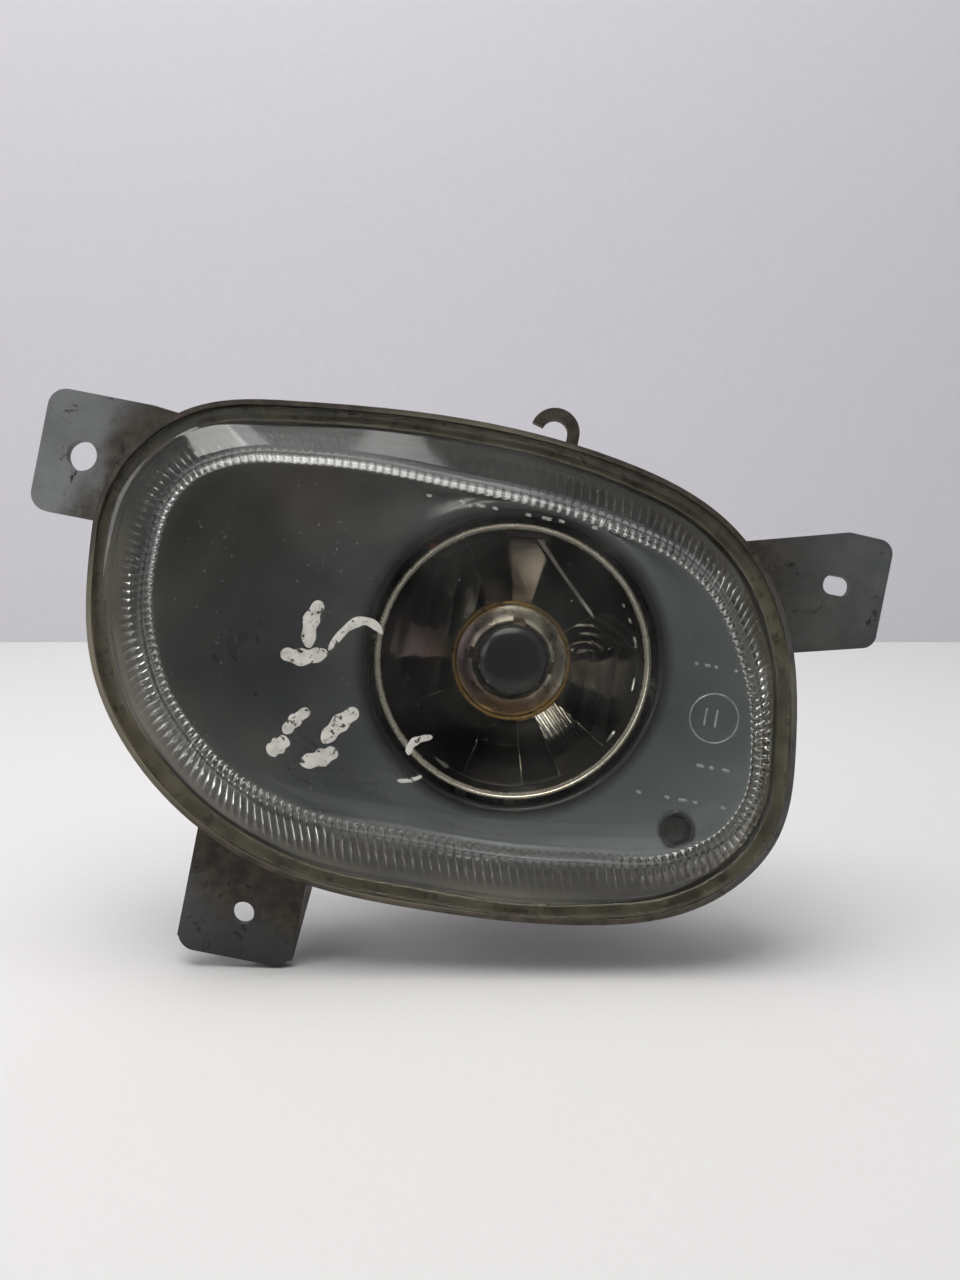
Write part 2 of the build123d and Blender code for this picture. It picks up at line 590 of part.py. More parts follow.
# ---- Aiming screw ----
SCREW_SHOULDER = 26.5
SCREW_BACK = 35.0
BUSH_FLANGE = 26.6
SEAL_SPAN = (29.4, 30.6)   # depths of the O-ring's groove
BORE_RADIUS = SHANK_RADIUS + RUNNING_GAP
KNOB_FRONT = 30.7
KNOB_BACK = 39.0
KNOB_RADIUS = 7.5
with BuildPart() as adjuster_screw:
    add(turned([(0, 3.5), (1.6, 3.5), (SCREW_RADIUS, 5), (SCREW_RADIUS, SCREW_SHOULDER),
                (SHANK_RADIUS, SCREW_SHOULDER), (SHANK_RADIUS, SCREW_BACK), (0, SCREW_BACK)], 0, SCREW_Z))
finish(adjuster_screw, "adjuster_screw")

with BuildPart() as adjuster_retaining_clip:
    add(ring(SCREW_RADIUS, 5.2, 25.7, SCREW_SHOULDER, 0, SCREW_Z))
    with BuildSketch(front(SCREW_SHOULDER)):
        with Locations((0, SCREW_Z - 4)):
            Rectangle(2.4, 4)
    extrude(amount=1, mode=Mode.SUBTRACT)
finish(adjuster_retaining_clip, "adjuster_retaining_clip")

with BuildPart() as adjuster_bush:
    add(turned([(BORE_RADIUS, BUSH_FLANGE), (6.5, BUSH_FLANGE), (6.5, TOWER_BACK),
                (BUSH_SPIGOT_RADIUS, TOWER_BACK), (BUSH_SPIGOT_RADIUS, SEAL_SPAN[1]), (4.2, SEAL_SPAN[1]),
                (4.2, SEAL_SPAN[0]), (BORE_RADIUS, SEAL_SPAN[0])], 0, SCREW_Z))
finish(adjuster_bush, "adjuster_bush")

with BuildPart() as adjuster_oring:
    add(ring(BORE_RADIUS, 4.2, *SEAL_SPAN, 0, SCREW_Z))
finish(adjuster_oring, "adjuster_oring")

with BuildPart() as adjuster_knob:
    with BuildSketch(front(KNOB_BACK)):
        with Locations((0, SCREW_Z)):
            Circle(KNOB_RADIUS)
            with PolarLocations(KNOB_RADIUS + 0.4, 12):
                Circle(0.9, mode=Mode.SUBTRACT)
    extrude(amount=KNOB_BACK - KNOB_FRONT)
    add(ring(0, SHANK_RADIUS, KNOB_FRONT, SCREW_BACK, 0, SCREW_Z), mode=Mode.SUBTRACT)
    with BuildSketch(front(KNOB_BACK)):
        with Locations((0, SCREW_Z)):
            RegularPolygon(3, 6, major_radius=False)
    extrude(amount=4, mode=Mode.SUBTRACT)
finish(adjuster_knob, "adjuster_knob")

half_nut = NUT_SIZE / 2
nut_span = (TILT_DEPTH - 4, TILT_DEPTH + 4)
with BuildPart() as adjuster_nut:
    add(block((-half_nut, half_nut), (SCREW_Z - half_nut, SCREW_Z + half_nut), nut_span))
    with BuildSketch(side(-FORK_OUTER)):
        with Locations((TILT_DEPTH, SCREW_Z)):
            Circle(TRUNNION_RADIUS)
    extrude(amount=2 * FORK_OUTER)
    add(ring(0, SCREW_RADIUS + RUNNING_GAP, *nut_span, 0, SCREW_Z), mode=Mode.SUBTRACT)
finish(adjuster_nut, "adjuster_nut")

# ---- Connector ----
SOCKET_FLANGE = TRAY_BACK + 1
FLANGE_THICKNESS = 2.0
SOCKET_BACK = 40.0
SOCKET_DEPTH = 16.0
PIN_OFFSETS = (-3.5, 3.5)


def pin(offset, depth_span):
    """Flat terminal of the connector, or its slot."""
    x, z = CONNECTOR
    return block((x + offset - 0.4, x + offset + 0.4), (z - 1.4, z + 1.4), depth_span)


with BuildPart() as connector_seal:
    with BuildSketch(front(SOCKET_FLANGE)):
        with Locations(CONNECTOR):
            RectangleRounded(23, 17, 3)
            RectangleRounded(*SPIGOT_SIZE, SPIGOT_CORNER, mode=Mode.SUBTRACT)
    extrude(amount=1)
finish(connector_seal, "connector_seal")

with BuildPart() as connector_socket:
    with BuildSketch(front(SOCKET_FLANGE)):
        with Locations(CONNECTOR):
            RectangleRounded(*SPIGOT_SIZE, SPIGOT_CORNER)
    extrude(amount=SOCKET_FLANGE - TRAY_FLOOR + 1)
    with BuildSketch(front(SOCKET_FLANGE + FLANGE_THICKNESS)):
        with Locations(CONNECTOR):
            RectangleRounded(24, 18, 3)
    extrude(amount=FLANGE_THICKNESS)
    with BuildSketch(front(SOCKET_BACK)):
        with Locations(CONNECTOR):
            RectangleRounded(20, 13, 2.5)
    extrude(amount=SOCKET_BACK - SOCKET_FLANGE - FLANGE_THICKNESS)
    with BuildSketch(front(SOCKET_BACK)):
        with Locations(CONNECTOR):
            RectangleRounded(16.8, 9.8, 1.5)
    extrude(amount=SOCKET_DEPTH, mode=Mode.SUBTRACT)
    for offset in PIN_OFFSETS:
        add(pin(offset, (12, SOCKET_BACK - SOCKET_DEPTH)), mode=Mode.SUBTRACT)
finish(connector_socket, "connector_socket")

with BuildPart() as connector_terminals:
    for offset in PIN_OFFSETS:
        add(pin(offset, (12.5, 34)))
finish(connector_terminals, "connector_terminals")

# ---- Leads between the connector and the bulb ----
with BuildPart() as live_lead:
    add(wire([(0, 8, LEAD_EXIT), (0, 20, LEAD_EXIT), (-14, 25, 32), (-24, 26, 23), (-30, 27, 12),
              (-45, 24, 8.5), (-58, 17, 7.5), (-68.5, 5, 7), (-68.5, 5, 12.5)], LEAD_RADIUS))
finish(live_lead, "live_lead")

with BuildPart() as ground_lead:
    add(wire([(-15.5, 8, 25), (-15.5, 8, 31), (-28, 17, 30), (-33, 19, 22), (-36, 18, 12), (-46, 14, 9),
              (-56, 5, 7.5), (-66, -3, 7), (-75.5, 5, 7), (-75.5, 5, 12.5)], LEAD_RADIUS))
finish(ground_lead, "ground_lead")

# ---- Breather ----
with BuildPart() as breather_cap:
    add(turned([(0, 28.5), (0, 30), (4.4, 30), (5.4, 29), (5.4, 19.5), (NIPPLE_RADIUS, 19.5),
                (NIPPLE_RADIUS, 28.5)], *BREATHER))
finish(breather_cap, "breather_cap")

with BuildPart() as breather_filter:
    add(ring(0, NIPPLE_RADIUS, NIPPLE_BACK, NIPPLE_BACK + 1.5, *BREATHER))
finish(breather_filter, "breather_filter")

# ---- Rear cap ----
CAP_INSIDE = 55.0
CAP_SKIRT = 46.0           # front edge of the cap's skirt
COVER_RADIUS = 35.0
SEAL_THICKNESS = 1.4
with BuildPart() as rear_cap:
    with BuildSketch(front(CAP_INSIDE + WALL)):
        Circle(COVER_RADIUS)
    extrude(amount=CAP_INSIDE + WALL - CAP_SKIRT)
    # Grips round the skirt.
    with BuildSketch(front(CAP_SKIRT + 6)):
        with PolarLocations(COVER_RADIUS + 0.6, 24):
            Circle(1.4)
    extrude(amount=6)
    add(ring(0, NECK_RADIUS + SEAL_THICKNESS, CAP_SKIRT, CAP_INSIDE), mode=Mode.SUBTRACT)
    # Bar handle across the back.
    add(block((-24, 24), (-3, 3), (CAP_INSIDE + 2, CAP_INSIDE + 11)))
    chamfer(rear_cap.edges().group_by(Axis.Y)[-1], 1.5)
finish(rear_cap, "rear_cap")

with BuildPart() as rear_cap_seal:
    add(ring(NECK_RADIUS + RUNNING_GAP, NECK_RADIUS + SEAL_THICKNESS, 49, 51.5))
finish(rear_cap_seal, "rear_cap_seal")
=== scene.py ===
"""Fog light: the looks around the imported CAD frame, laid out as an add-on that is run as a script."""
import math

import bmesh
import bpy
import numpy as np
from mathutils import Matrix, Vector


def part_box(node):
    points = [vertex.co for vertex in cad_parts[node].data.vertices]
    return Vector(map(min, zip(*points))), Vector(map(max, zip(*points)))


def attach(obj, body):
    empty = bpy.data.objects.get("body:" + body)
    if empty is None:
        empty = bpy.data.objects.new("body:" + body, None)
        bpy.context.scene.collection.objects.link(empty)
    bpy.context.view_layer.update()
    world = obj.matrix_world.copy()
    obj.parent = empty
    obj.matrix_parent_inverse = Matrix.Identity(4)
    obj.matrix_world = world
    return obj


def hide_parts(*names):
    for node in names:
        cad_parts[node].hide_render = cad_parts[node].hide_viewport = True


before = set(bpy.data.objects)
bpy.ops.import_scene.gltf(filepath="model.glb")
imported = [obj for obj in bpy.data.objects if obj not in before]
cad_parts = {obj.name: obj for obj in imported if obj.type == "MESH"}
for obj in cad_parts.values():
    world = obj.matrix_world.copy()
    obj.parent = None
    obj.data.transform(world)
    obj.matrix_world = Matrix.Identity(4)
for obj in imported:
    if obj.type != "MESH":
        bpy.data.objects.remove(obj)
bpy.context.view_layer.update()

bl_info = {
    "name": "Fog Light",
    "version": (1, 0, 0),
    "blender": (4, 5, 0),
    "location": "3D View > Sidebar > Fog Light",
    "description": "Glass, mirror, trim and finishes of a front fog light, around its packed frame",
    "category": "Object",
}

MM = 0.001
SEAL_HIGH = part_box("lens_seal")[1]
NECK_LOW, NECK_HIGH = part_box("rear_cap_seal")
OPTIC_X = (NECK_LOW.x + NECK_HIGH.x) / 2
OPTIC_Z = (NECK_LOW.z + NECK_HIGH.z) / 2
RIM_Y = SEAL_HIGH.y - 1.0 * MM

# Outlines seen from the front, in millimetres from the optical axis, as matched points.
RIM = [(-115.7, 13), (-110, 35.5), (-96.3, 49.3), (-70, 56.4), (-25, 60.4), (18, 57.5), (50, 46.3),
       (69, 24.5), (77.8, -8), (77.8, -32.5), (63, -53), (32, -64.9), (-12, -69.1), (-55, -66),
       (-90, -47.5), (-108, -24.5)]
FACE = [(-98.8, 11), (-95, 28.5), (-84.5, 37.6), (-62, 42.9), (-24, 43.9), (18, 41.2), (44, 32.8),
        (59.5, 14.5), (68, -9), (67.2, -28), (55.5, -41), (26, -48.3), (-16, -51.2), (-56, -48.8),
        (-80, -35), (-94, -15.5)]
MIDDLE = (-16.0, -4.0)


# ---- Placing and outlines ----
def at(x, z, depth):
    """Point in the frame, from millimetres about the optical axis and behind the rim plane."""
    return Vector((OPTIC_X + x * MM, RIM_Y + depth * MM, OPTIC_Z + z * MM))


def smooth_outline(points):
    """Dense points of the smooth closed curve through an outline, the same number for each span."""
    curve = bpy.data.curves.new("outline", "CURVE")
    curve.dimensions = "3D"
    curve.resolution_u = 48
    spline = curve.splines.new("BEZIER")
    spline.bezier_points.add(len(points) - 1)
    for knot, (x, z) in zip(spline.bezier_points, points):
        knot.co = (x, z, 0)
        knot.handle_left_type = "AUTO"
        knot.handle_right_type = "AUTO"
    spline.use_cyclic_u = True
    holder = bpy.data.objects.new("outline", curve)
    mesh = bpy.data.meshes.new_from_object(holder)
    dense = np.array([vertex.co[:2] for vertex in mesh.vertices])
    bpy.data.objects.remove(holder)
    bpy.data.curves.remove(curve)
    bpy.data.meshes.remove(mesh)
    return dense


def even_pair(count):
    """The rim and face outlines at matched places, evenly spaced along the curve midway between them."""
    rim = smooth_outline(RIM)
    face = smooth_outline(FACE)
    between = (rim + face) / 2
    steps = np.linalg.norm(np.roll(between, -1, axis=0) - between, axis=1)
    travelled = np.concatenate([[0], np.cumsum(steps)])
    wanted = np.arange(count) * travelled[-1] / count
    pair = []
    for loop in (rim, face):
        closed = np.vstack([loop, loop[:1]])
        pair.append(np.stack([np.interp(wanted, travelled, closed[:, axis]) for axis in (0, 1)], axis=1))
    return pair[0], pair[1], travelled[-1]


def inwards(loop, amount):
    """A loop moved square to itself, towards its inside."""
    along = np.roll(loop, -1, axis=0) - np.roll(loop, 1, axis=0)
    along /= np.linalg.norm(along, axis=1)[:, None]
    square = np.stack([along[:, 1], -along[:, 0]], axis=1)
    return loop + square * np.reshape(amount, (-1, 1))


def ring_points(loop, depth):
    """A loop's points in the frame; the depth is one number or one for each point."""
    depths = np.broadcast_to(depth, len(loop))
    return [at(x, z, d) for (x, z), d in zip(loop, depths)]


# ---- Making and finishing meshes ----
def extruded_rings(bm, rings, closed=False):
    """Extrudes a closed ring of edges through a list of rings, and returns the first and last edges."""
    verts = [bm.verts.new(point) for point in rings[0]]
    first = [bm.edges.new((verts[i], verts[(i + 1) % len(verts)])) for i in range(len(verts))]
    edges = first
    for ring in rings[1:]:
        made = bmesh.ops.extrude_edge_only(bm, edges=edges)["geom"]
        fresh = {item for item in made if isinstance(item, bmesh.types.BMVert)}
        verts = [next(e.other_vert(v) for e in v.link_edges if e.other_vert(v) in fresh) for v in verts]
        for vert, point in zip(verts, ring):
            vert.co = point
        edges = [bm.edges.get((verts[i], verts[(i + 1) % len(verts)])) for i in range(len(verts))]
    if closed:
        bmesh.ops.bridge_loops(bm, edges=first + edges)
    return first, edges


def new_piece(name, bm, material, body, replaced=(), smooth=60):
    """Turns a bmesh into a finished piece that rides on a body."""
    bmesh.ops.recalc_face_normals(bm, faces=bm.faces)
    mesh = bpy.data.meshes.new(name)
    bm.to_mesh(mesh)
    bm.free()
    piece = bpy.data.objects.new(name, mesh)
    bpy.context.scene.collection.objects.link(piece)
    mesh.materials.append(material)
    if smooth:
        mesh.shade_smooth()
        mesh.set_sharp_from_angle(angle=math.radians(smooth))
    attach(piece, body)
    if replaced:
        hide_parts(*replaced)
    return piece


def apply_modifiers(piece):
    """Keeps the mesh that the modifiers make, and takes the modifiers off."""
    bpy.context.view_layer.update()
    graph = bpy.context.evaluated_depsgraph_get()
    mesh = bpy.data.meshes.new_from_object(piece.evaluated_get(graph))
    piece.modifiers.clear()
    piece.data = mesh


def carve(piece, cutter_bm):
    """Cuts a closed shape out of a piece."""
    bmesh.ops.recalc_face_normals(cutter_bm, faces=cutter_bm.faces)
    mesh = bpy.data.meshes.new("cutter")
    cutter_bm.to_mesh(mesh)
    cutter_bm.free()
    cutter = bpy.data.objects.new("cutter", mesh)
    bpy.context.scene.collection.objects.link(cutter)
    cut = piece.modifiers.new("cut", "BOOLEAN")
    cut.operation = "DIFFERENCE"
    cut.object = cutter
    apply_modifiers(piece)
    bpy.data.objects.remove(cutter)


def add_turned(bm, section, x=0.0, z=0.0, steps=128, closed=False):
    """Spins a section of (radius, depth) points about an axis along Y; closed joins its ends first."""
    verts = [bm.verts.new(at(x + radius, z, depth)) for radius, depth in section]
    pairs = list(zip(verts, verts[1:]))
    if closed:
        pairs.append((verts[-1], verts[0]))
    edges = [bm.edges.new(pair) for pair in pairs]
    bmesh.ops.spin(bm, geom=verts + edges, cent=at(x, z, 0), axis=(0, 1, 0), angle=math.tau,
                   steps=steps, use_merge=True)
    bmesh.ops.remove_doubles(bm, verts=bm.verts, dist=1e-6)


def add_block(bm, low, high):
    """Adds a box between two corners, each (x, z, depth) in millimetres about the optical axis."""
    low_point = at(*low)
    high_point = at(*high)
    size = high_point - low_point
    place = Matrix.Translation((low_point + high_point) / 2) @ Matrix.Diagonal((*size, 1))
    return bmesh.ops.create_cube(bm, size=1, matrix=place)["verts"]


# ---- Materials ----
class Nodes:
    """Short names for the nodes of one material."""

    def __init__(self, name):
        self.material = bpy.data.materials.new(name)
        self.material.use_nodes = True
        self.tree = self.material.node_tree
        self.shader = self.tree.nodes["Principled BSDF"]
        self.place = self.add("ShaderNodeTexCoord").outputs["Object"]

    def add(self, kind, inputs=None, **settings):
        node = self.tree.nodes.new(kind)
        for key, value in settings.items():
            setattr(node, key, value)
        for key, value in (inputs or {}).items():
            self.feed(node.inputs[key], value)
        return node

    def feed(self, socket, value):
        if isinstance(value, bpy.types.NodeSocket):
            self.tree.links.new(value, socket)
        else:
            socket.default_value = value

    def set(self, **values):
        """Sets or links the shader's inputs, named with underscores for spaces."""
        for key, value in values.items():
            self.feed(self.shader.inputs[key.replace("_", " ")], value)

    def noise(self, scale, detail=4.0, roughness=0.55, stretch=None, distortion=0.0):
        place = self.place
        if stretch:
            place = self.add("ShaderNodeMapping", {"Vector": place, "Scale": stretch}).outputs[0]
        node = self.add("ShaderNodeTexNoise", {"Vector": place, "Scale": scale, "Detail": detail,
                                               "Roughness": roughness, "Distortion": distortion})
        return node.outputs["Fac"]

    def ramp(self, value, low, high, start=0.0, end=1.0):
        """A number mapped from low..high to start..end, held at the ends."""
        node = self.add("ShaderNodeMapRange", {"Value": value, "From Min": low, "From Max": high,
                                               "To Min": start, "To Max": end}, clamp=True)
        return node.outputs["Result"]

    def mix(self, factor, first, second):
        """Mix of two colours."""
        node = self.add("ShaderNodeMix", data_type="RGBA")
        self.feed(node.inputs["Factor"], factor)
        self.feed(node.inputs["A"], self.colour(first))
        self.feed(node.inputs["B"], self.colour(second))
        return node.outputs["Result"]

    def colour(self, value):
        if isinstance(value, bpy.types.NodeSocket):
            return value
        return (*value, 1.0) if len(value) == 3 else value

    def math(self, operation, first, second=0.0):
        node = self.add("ShaderNodeMath", operation=operation)
        self.feed(node.inputs[0], first)
        self.feed(node.inputs[1], second)
        return node.outputs[0]

    def radius_about(self, x, z):
        """Distance from an axis along Y, in millimetres."""
        split = self.add("ShaderNodeSeparateXYZ", {"Vector": self.place})
        centre = at(x, z, 0)
        across = self.math("SUBTRACT", split.outputs["X"], centre.x)
        up = self.math("SUBTRACT", split.outputs["Z"], centre.z)
        squares = self.math("ADD", self.math("MULTIPLY", across, across), self.math("MULTIPLY", up, up))
        return self.math("MULTIPLY", self.math("SQRT", squares), 1 / MM)

    def along(self, x, z):
        """Distance along a direction across the front, in millimetres from the optical axis."""
        split = self.add("ShaderNodeSeparateXYZ", {"Vector": self.place})
        centre = at(0, 0, 0)
        across = self.math("MULTIPLY", self.math("SUBTRACT", split.outputs["X"], centre.x), x / MM)
        up = self.math("MULTIPLY", self.math("SUBTRACT", split.outputs["Z"], centre.z), z / MM)
        return self.math("ADD", across, up)

    def depth(self):
        """Distance behind the rim plane, in millimetres."""
        split = self.add("ShaderNodeSeparateXYZ", {"Vector": self.place})
        return self.math("MULTIPLY", self.math("SUBTRACT", split.outputs["Y"], RIM_Y), 1 / MM)

    def bump(self, height, distance_mm, strength=1.0):
        node = self.add("ShaderNodeBump", {"Height": height, "Distance": distance_mm * MM,
                                           "Strength": strength})
        self.feed(self.shader.inputs["Normal"], node.outputs["Normal"])


def lens_glass_material():
    """Old pressed glass: clear, faintly green, with dust specks and road haze."""
    n = Nodes("lens_glass")
    haze = n.ramp(n.noise(38, 5, 0.6), 0.42, 0.78)
    specks = n.ramp(n.noise(1500, 2, 0.5), 0.715, 0.745, 0.0, 0.55)
    patches = n.ramp(n.noise(60, 3, 0.6), 0.45, 0.65)
    dust = n.math("MULTIPLY", specks, patches)
    film = n.ramp(n.noise(30, 6, 0.65, distortion=0.5), 0.35, 0.75, 0.0, 0.022)
    veil = n.math("MAXIMUM", dust, film)
    n.set(Base_Color=n.mix(dust, (0.905, 0.920, 0.870), (0.66, 0.65, 0.61)),
          Roughness=n.ramp(haze, 0.0, 1.0, 0.03, 0.09),
          Transmission_Weight=n.ramp(veil, 0.0, 1.0, 1.0, 0.10))
    n.set(IOR=1.5)
    return n.material


def frosted_mark_material():
    """Raised marks pressed in the glass, their edges catching the light."""
    n = Nodes("raised_glass")
    n.set(Base_Color=n.mix(n.ramp(n.noise(400, 3), 0.4, 0.7), (0.74, 0.76, 0.75), (0.60, 0.62, 0.60)),
          Roughness=0.18, Transmission_Weight=0.84)
    n.set(IOR=1.5)
    return n.material


def sealant_material():
    """Aged butyl in the gutter, olive brown with darker runs."""
    n = Nodes("sealant")
    runs = n.ramp(n.noise(120, 5, 0.6), 0.35, 0.68)
    spots = n.ramp(n.noise(420, 3, 0.5), 0.56, 0.66)
    base = n.mix(runs, (0.045, 0.036, 0.022), (0.125, 0.104, 0.070))
    n.set(Base_Color=n.mix(spots, base, (0.030, 0.020, 0.012)), Roughness=0.42, Specular_IOR_Level=0.45)
    n.bump(n.noise(260, 4, 0.6), 0.25, 0.5)
    return n.material


def bezel_material():
    """Satin dark-grey paint with fine grain and dust specks, lighter towards its lower right as painted
    reflection, and near-black round the opening and in the screw recess as painted shade.
    """
    n = Nodes("bezel_paint")
    film = n.ramp(n.noise(22, 5, 0.6, distortion=0.6), 0.35, 0.75)
    # Painted reflection: dark and light are shaded and lit copies of the paint, and this slope makes it
    # lighter towards the lower right.
    painted_reflection_slope = n.ramp(n.along(0.72, -0.69), -70, 72)
    specks = n.ramp(n.noise(1100, 2, 0.5), 0.685, 0.74, 0.0, 0.8)
    rusty = n.ramp(n.noise(48, 5, 0.6), 0.52, 0.68, 0.0, 0.6)
    dark = n.mix(rusty, n.mix(film, (0.015, 0.014, 0.015), (0.050, 0.049, 0.048)), (0.060, 0.038, 0.034))
    light = n.mix(film, (0.125, 0.138, 0.150), (0.175, 0.190, 0.205))
    base = n.mix(painted_reflection_slope, dark, light)
    dust_and_painted_sheen = n.mix(specks, base, (0.22, 0.22, 0.215))
    # Painted shade: near-black on the rolled opening inside 39.2 mm and inside the screw recess, where shade
    # falls.
    edge = n.ramp(n.radius_about(0, 0), 39.2, 42.6)
    cup = n.ramp(n.radius_about(*BEZEL_SCREW), 4.3, 5.4)
    n.set(Base_Color=n.mix(n.math("MULTIPLY", edge, cup), (0.006, 0.006, 0.007), dust_and_painted_sheen), Metallic=0.30,
          Roughness=n.ramp(film, 0.0, 1.0, 0.27, 0.40))
    n.bump(n.noise(900, 2, 0.5), 0.02, 0.35)
    return n.material


def mirror_material():
    """Aluminised mirror, warm and slightly fogged with age near its neck, and darker to the left and at the
    top as painted shade.
    """
    n = Nodes("mirror_coating")
    radius = n.radius_about(0, 0)
    heat = n.ramp(radius, 14.0, 26.0, 1.0, 0.0)
    blotch = n.ramp(n.noise(70, 4, 0.6), 0.40, 0.70)
    burn = n.math("MULTIPLY", heat, blotch)
    # Painted shade: the silver is made darker to the left and towards the top.
    side = n.ramp(n.along(0.97, 0.24), -26, 4)
    low = n.ramp(n.along(-0.1, 1.0), 13, 20, 1.0, 0.12)
    silver = n.mix(n.math("MULTIPLY", side, low), (0.13, 0.115, 0.11), (0.50, 0.475, 0.455))
    n.set(Base_Color=n.mix(burn, silver, (0.24, 0.14, 0.07)), Metallic=1.0,
          Roughness=n.ramp(n.noise(90, 3, 0.5), 0.4, 0.7, 0.05, 0.12))
    return n.material


def lip_material():
    """Bright lip of the reflector."""
    n = Nodes("bright_lip")
    wear = n.ramp(n.noise(300, 4, 0.6), 0.45, 0.70)
    n.set(Base_Color=n.mix(wear, (0.96, 0.86, 0.75), (0.70, 0.58, 0.46)), Metallic=1.0,
          Roughness=n.ramp(wear, 0, 1, 0.24, 0.42))
    return n.material


def reflector_back_material():
    """Moulded heat-resistant plastic of the reflector's back."""
    n = Nodes("reflector_back")
    n.set(Base_Color=n.mix(n.ramp(n.noise(90), 0.4, 0.7), (0.20, 0.19, 0.175), (0.27, 0.255, 0.23)),
          Roughness=0.55)
    n.bump(n.noise(1200, 2), 0.02, 0.4)
    return n.material


def shield_material():
    """Heat-stained steel: amber edge, violet to the upper left, burnt below, and lighter to the upper right,
    partly bare steel and partly a painted highlight.
    """
    n = Nodes("shield_steel")
    radius = n.radius_about(0, 0)
    wobble = n.math("ADD", radius, n.ramp(n.noise(110, 3), 0.3, 0.7, -0.7, 0.7))
    # Partly painted highlight: the ring goes from violet tint at the upper left to bright bare steel at the
    # upper right.
    painted_highlight_and_tint = n.ramp(n.along(0.75, 0.66), -9, 9)
    smoke = n.ramp(n.noise(130, 4, 0.6), 0.40, 0.66)
    bare = n.mix(painted_highlight_and_tint, (0.36, 0.26, 0.29), (0.80, 0.73, 0.62))
    inner = n.mix(smoke, bare, (0.20, 0.165, 0.14))
    below = n.ramp(n.along(0.0, 1.0), -13, -4, 1.0, 0.0)
    burnt = n.mix(below, inner, (0.17, 0.105, 0.060))
    outer = n.mix(n.ramp(wobble, 14.6, 15.4), burnt, (0.62, 0.40, 0.15))
    capped = n.mix(n.ramp(radius, 9.6, 10.2), (0.030, 0.030, 0.032), outer)
    n.set(Base_Color=capped, Metallic=n.ramp(radius, 9.6, 10.2, 0.55, 1.0),
          Roughness=n.math("MULTIPLY", n.ramp(n.noise(240, 4), 0.35, 0.7, 0.24, 0.44),
                           n.ramp(radius, 9.6, 10.2, 0.35, 1.0)))
    n.bump(n.noise(500, 3), 0.03, 0.3)
    return n.material


def housing_material():
    """Grey moulded housing: road grime round the rim, black scuffs, and a clean pale inside; lighter at its
    left end as painted light, and darker towards the bottom as painted shade.
    """
    n = Nodes("housing_plastic")
    split = n.add("ShaderNodeSeparateXYZ", {"Vector": n.place})
    centre = at(-20, -4, 0)
    across = n.math("MULTIPLY", n.math("SUBTRACT", split.outputs["X"], centre.x), 1 / 0.097)
    up = n.math("MULTIPLY", n.math("SUBTRACT", split.outputs["Z"], centre.z), 1 / 0.0655)
    oval = n.math("SQRT", n.math("ADD", n.math("MULTIPLY", across, across), n.math("MULTIPLY", up, up)))
    ragged = n.math("ADD", oval, n.ramp(n.noise(75, 6, 0.65), 0.3, 0.7, -0.12, 0.12))
    shade = n.ramp(n.along(1.0, 0.25), -111, -107, 0.0, 0.12)
    clean_end = n.ramp(n.along(1.0, 0.0), 58, 72, 0.85, 0.25)
    near_rim = n.math("MULTIPLY", n.ramp(n.math("SUBTRACT", ragged, shade), 1.04, 1.20, 1.0, 0.0), clean_end)
    mottle = n.ramp(n.noise(55, 6, 0.62), 0.38, 0.66)
    # Painted light: the left end gets a lighter, lit copy of the grey, and the rest keeps the darker grey.
    painted_light_left_end = n.ramp(n.along(1.0, 0.35), -108, -92, 1.0, 0.0)
    lit_grey = n.mix(mottle, (0.150, 0.156, 0.156), (0.205, 0.212, 0.212))
    fresh = n.mix(mottle, (0.060, 0.064, 0.064), (0.100, 0.104, 0.103))
    # Painted shade: almost black towards the bottom, where the lamp stands close to the floor.
    foot = n.ramp(n.along(0.0, 1.0), -92, -62, 0.85, 0.0)
    grey = n.mix(foot, n.mix(painted_light_left_end, fresh, lit_grey), (0.028, 0.029, 0.029))
    brown = n.mix(n.ramp(n.noise(260, 5, 0.6), 0.4, 0.65), (0.034, 0.026, 0.018), (0.085, 0.066, 0.046))
    scuffs = n.ramp(n.noise(150, 7, 0.72, distortion=0.8), 0.585, 0.66)
    grime_and_painted_light = n.mix(near_rim, grey, brown)
    outside = n.mix(scuffs, grime_and_painted_light, (0.014, 0.013, 0.012))
    in_tray = n.math("MULTIPLY", n.ramp(oval, 0.95, 1.0, 1.0, 0.0), n.ramp(n.depth(), 4.0, 7.0, 1.0, 0.0))
    inside = n.mix(mottle, (0.19, 0.17, 0.125), (0.27, 0.245, 0.18))
    n.set(Base_Color=n.mix(in_tray, outside, inside),
          Roughness=n.ramp(n.noise(180, 4), 0.35, 0.7, 0.50, 0.72), Specular_IOR_Level=0.32)
    n.bump(n.noise(700, 4, 0.6), 0.06, 0.5)
    return n.material


def plain_plastic(name, dark, light, roughness, grain=0.05):
    """Moulded plastic or rubber with a little mottling and a moulded grain."""
    n = Nodes(name)
    n.set(Base_Color=n.mix(n.ramp(n.noise(90, 4), 0.35, 0.7), dark, light),
          Roughness=n.ramp(n.noise(260, 3), 0.3, 0.7, roughness - 0.06, roughness + 0.08))
    n.bump(n.noise(1400, 3), grain, 0.5)
    return n.material


def metal(name, clean, stained, roughness):
    """Plated or bare metal with fine scratches and patches of stain."""
    n = Nodes(name)
    stain = n.ramp(n.noise(150, 5, 0.6), 0.48, 0.72)
    n.set(Base_Color=n.mix(stain, clean, stained), Metallic=1.0,
          Roughness=n.ramp(n.noise(420, 3, stretch=(1, 1, 6)), 0.3, 0.7, roughness - 0.08, roughness + 0.12))
    n.bump(n.noise(900, 3, stretch=(1, 1, 8)), 0.02, 0.3)
    return n.material


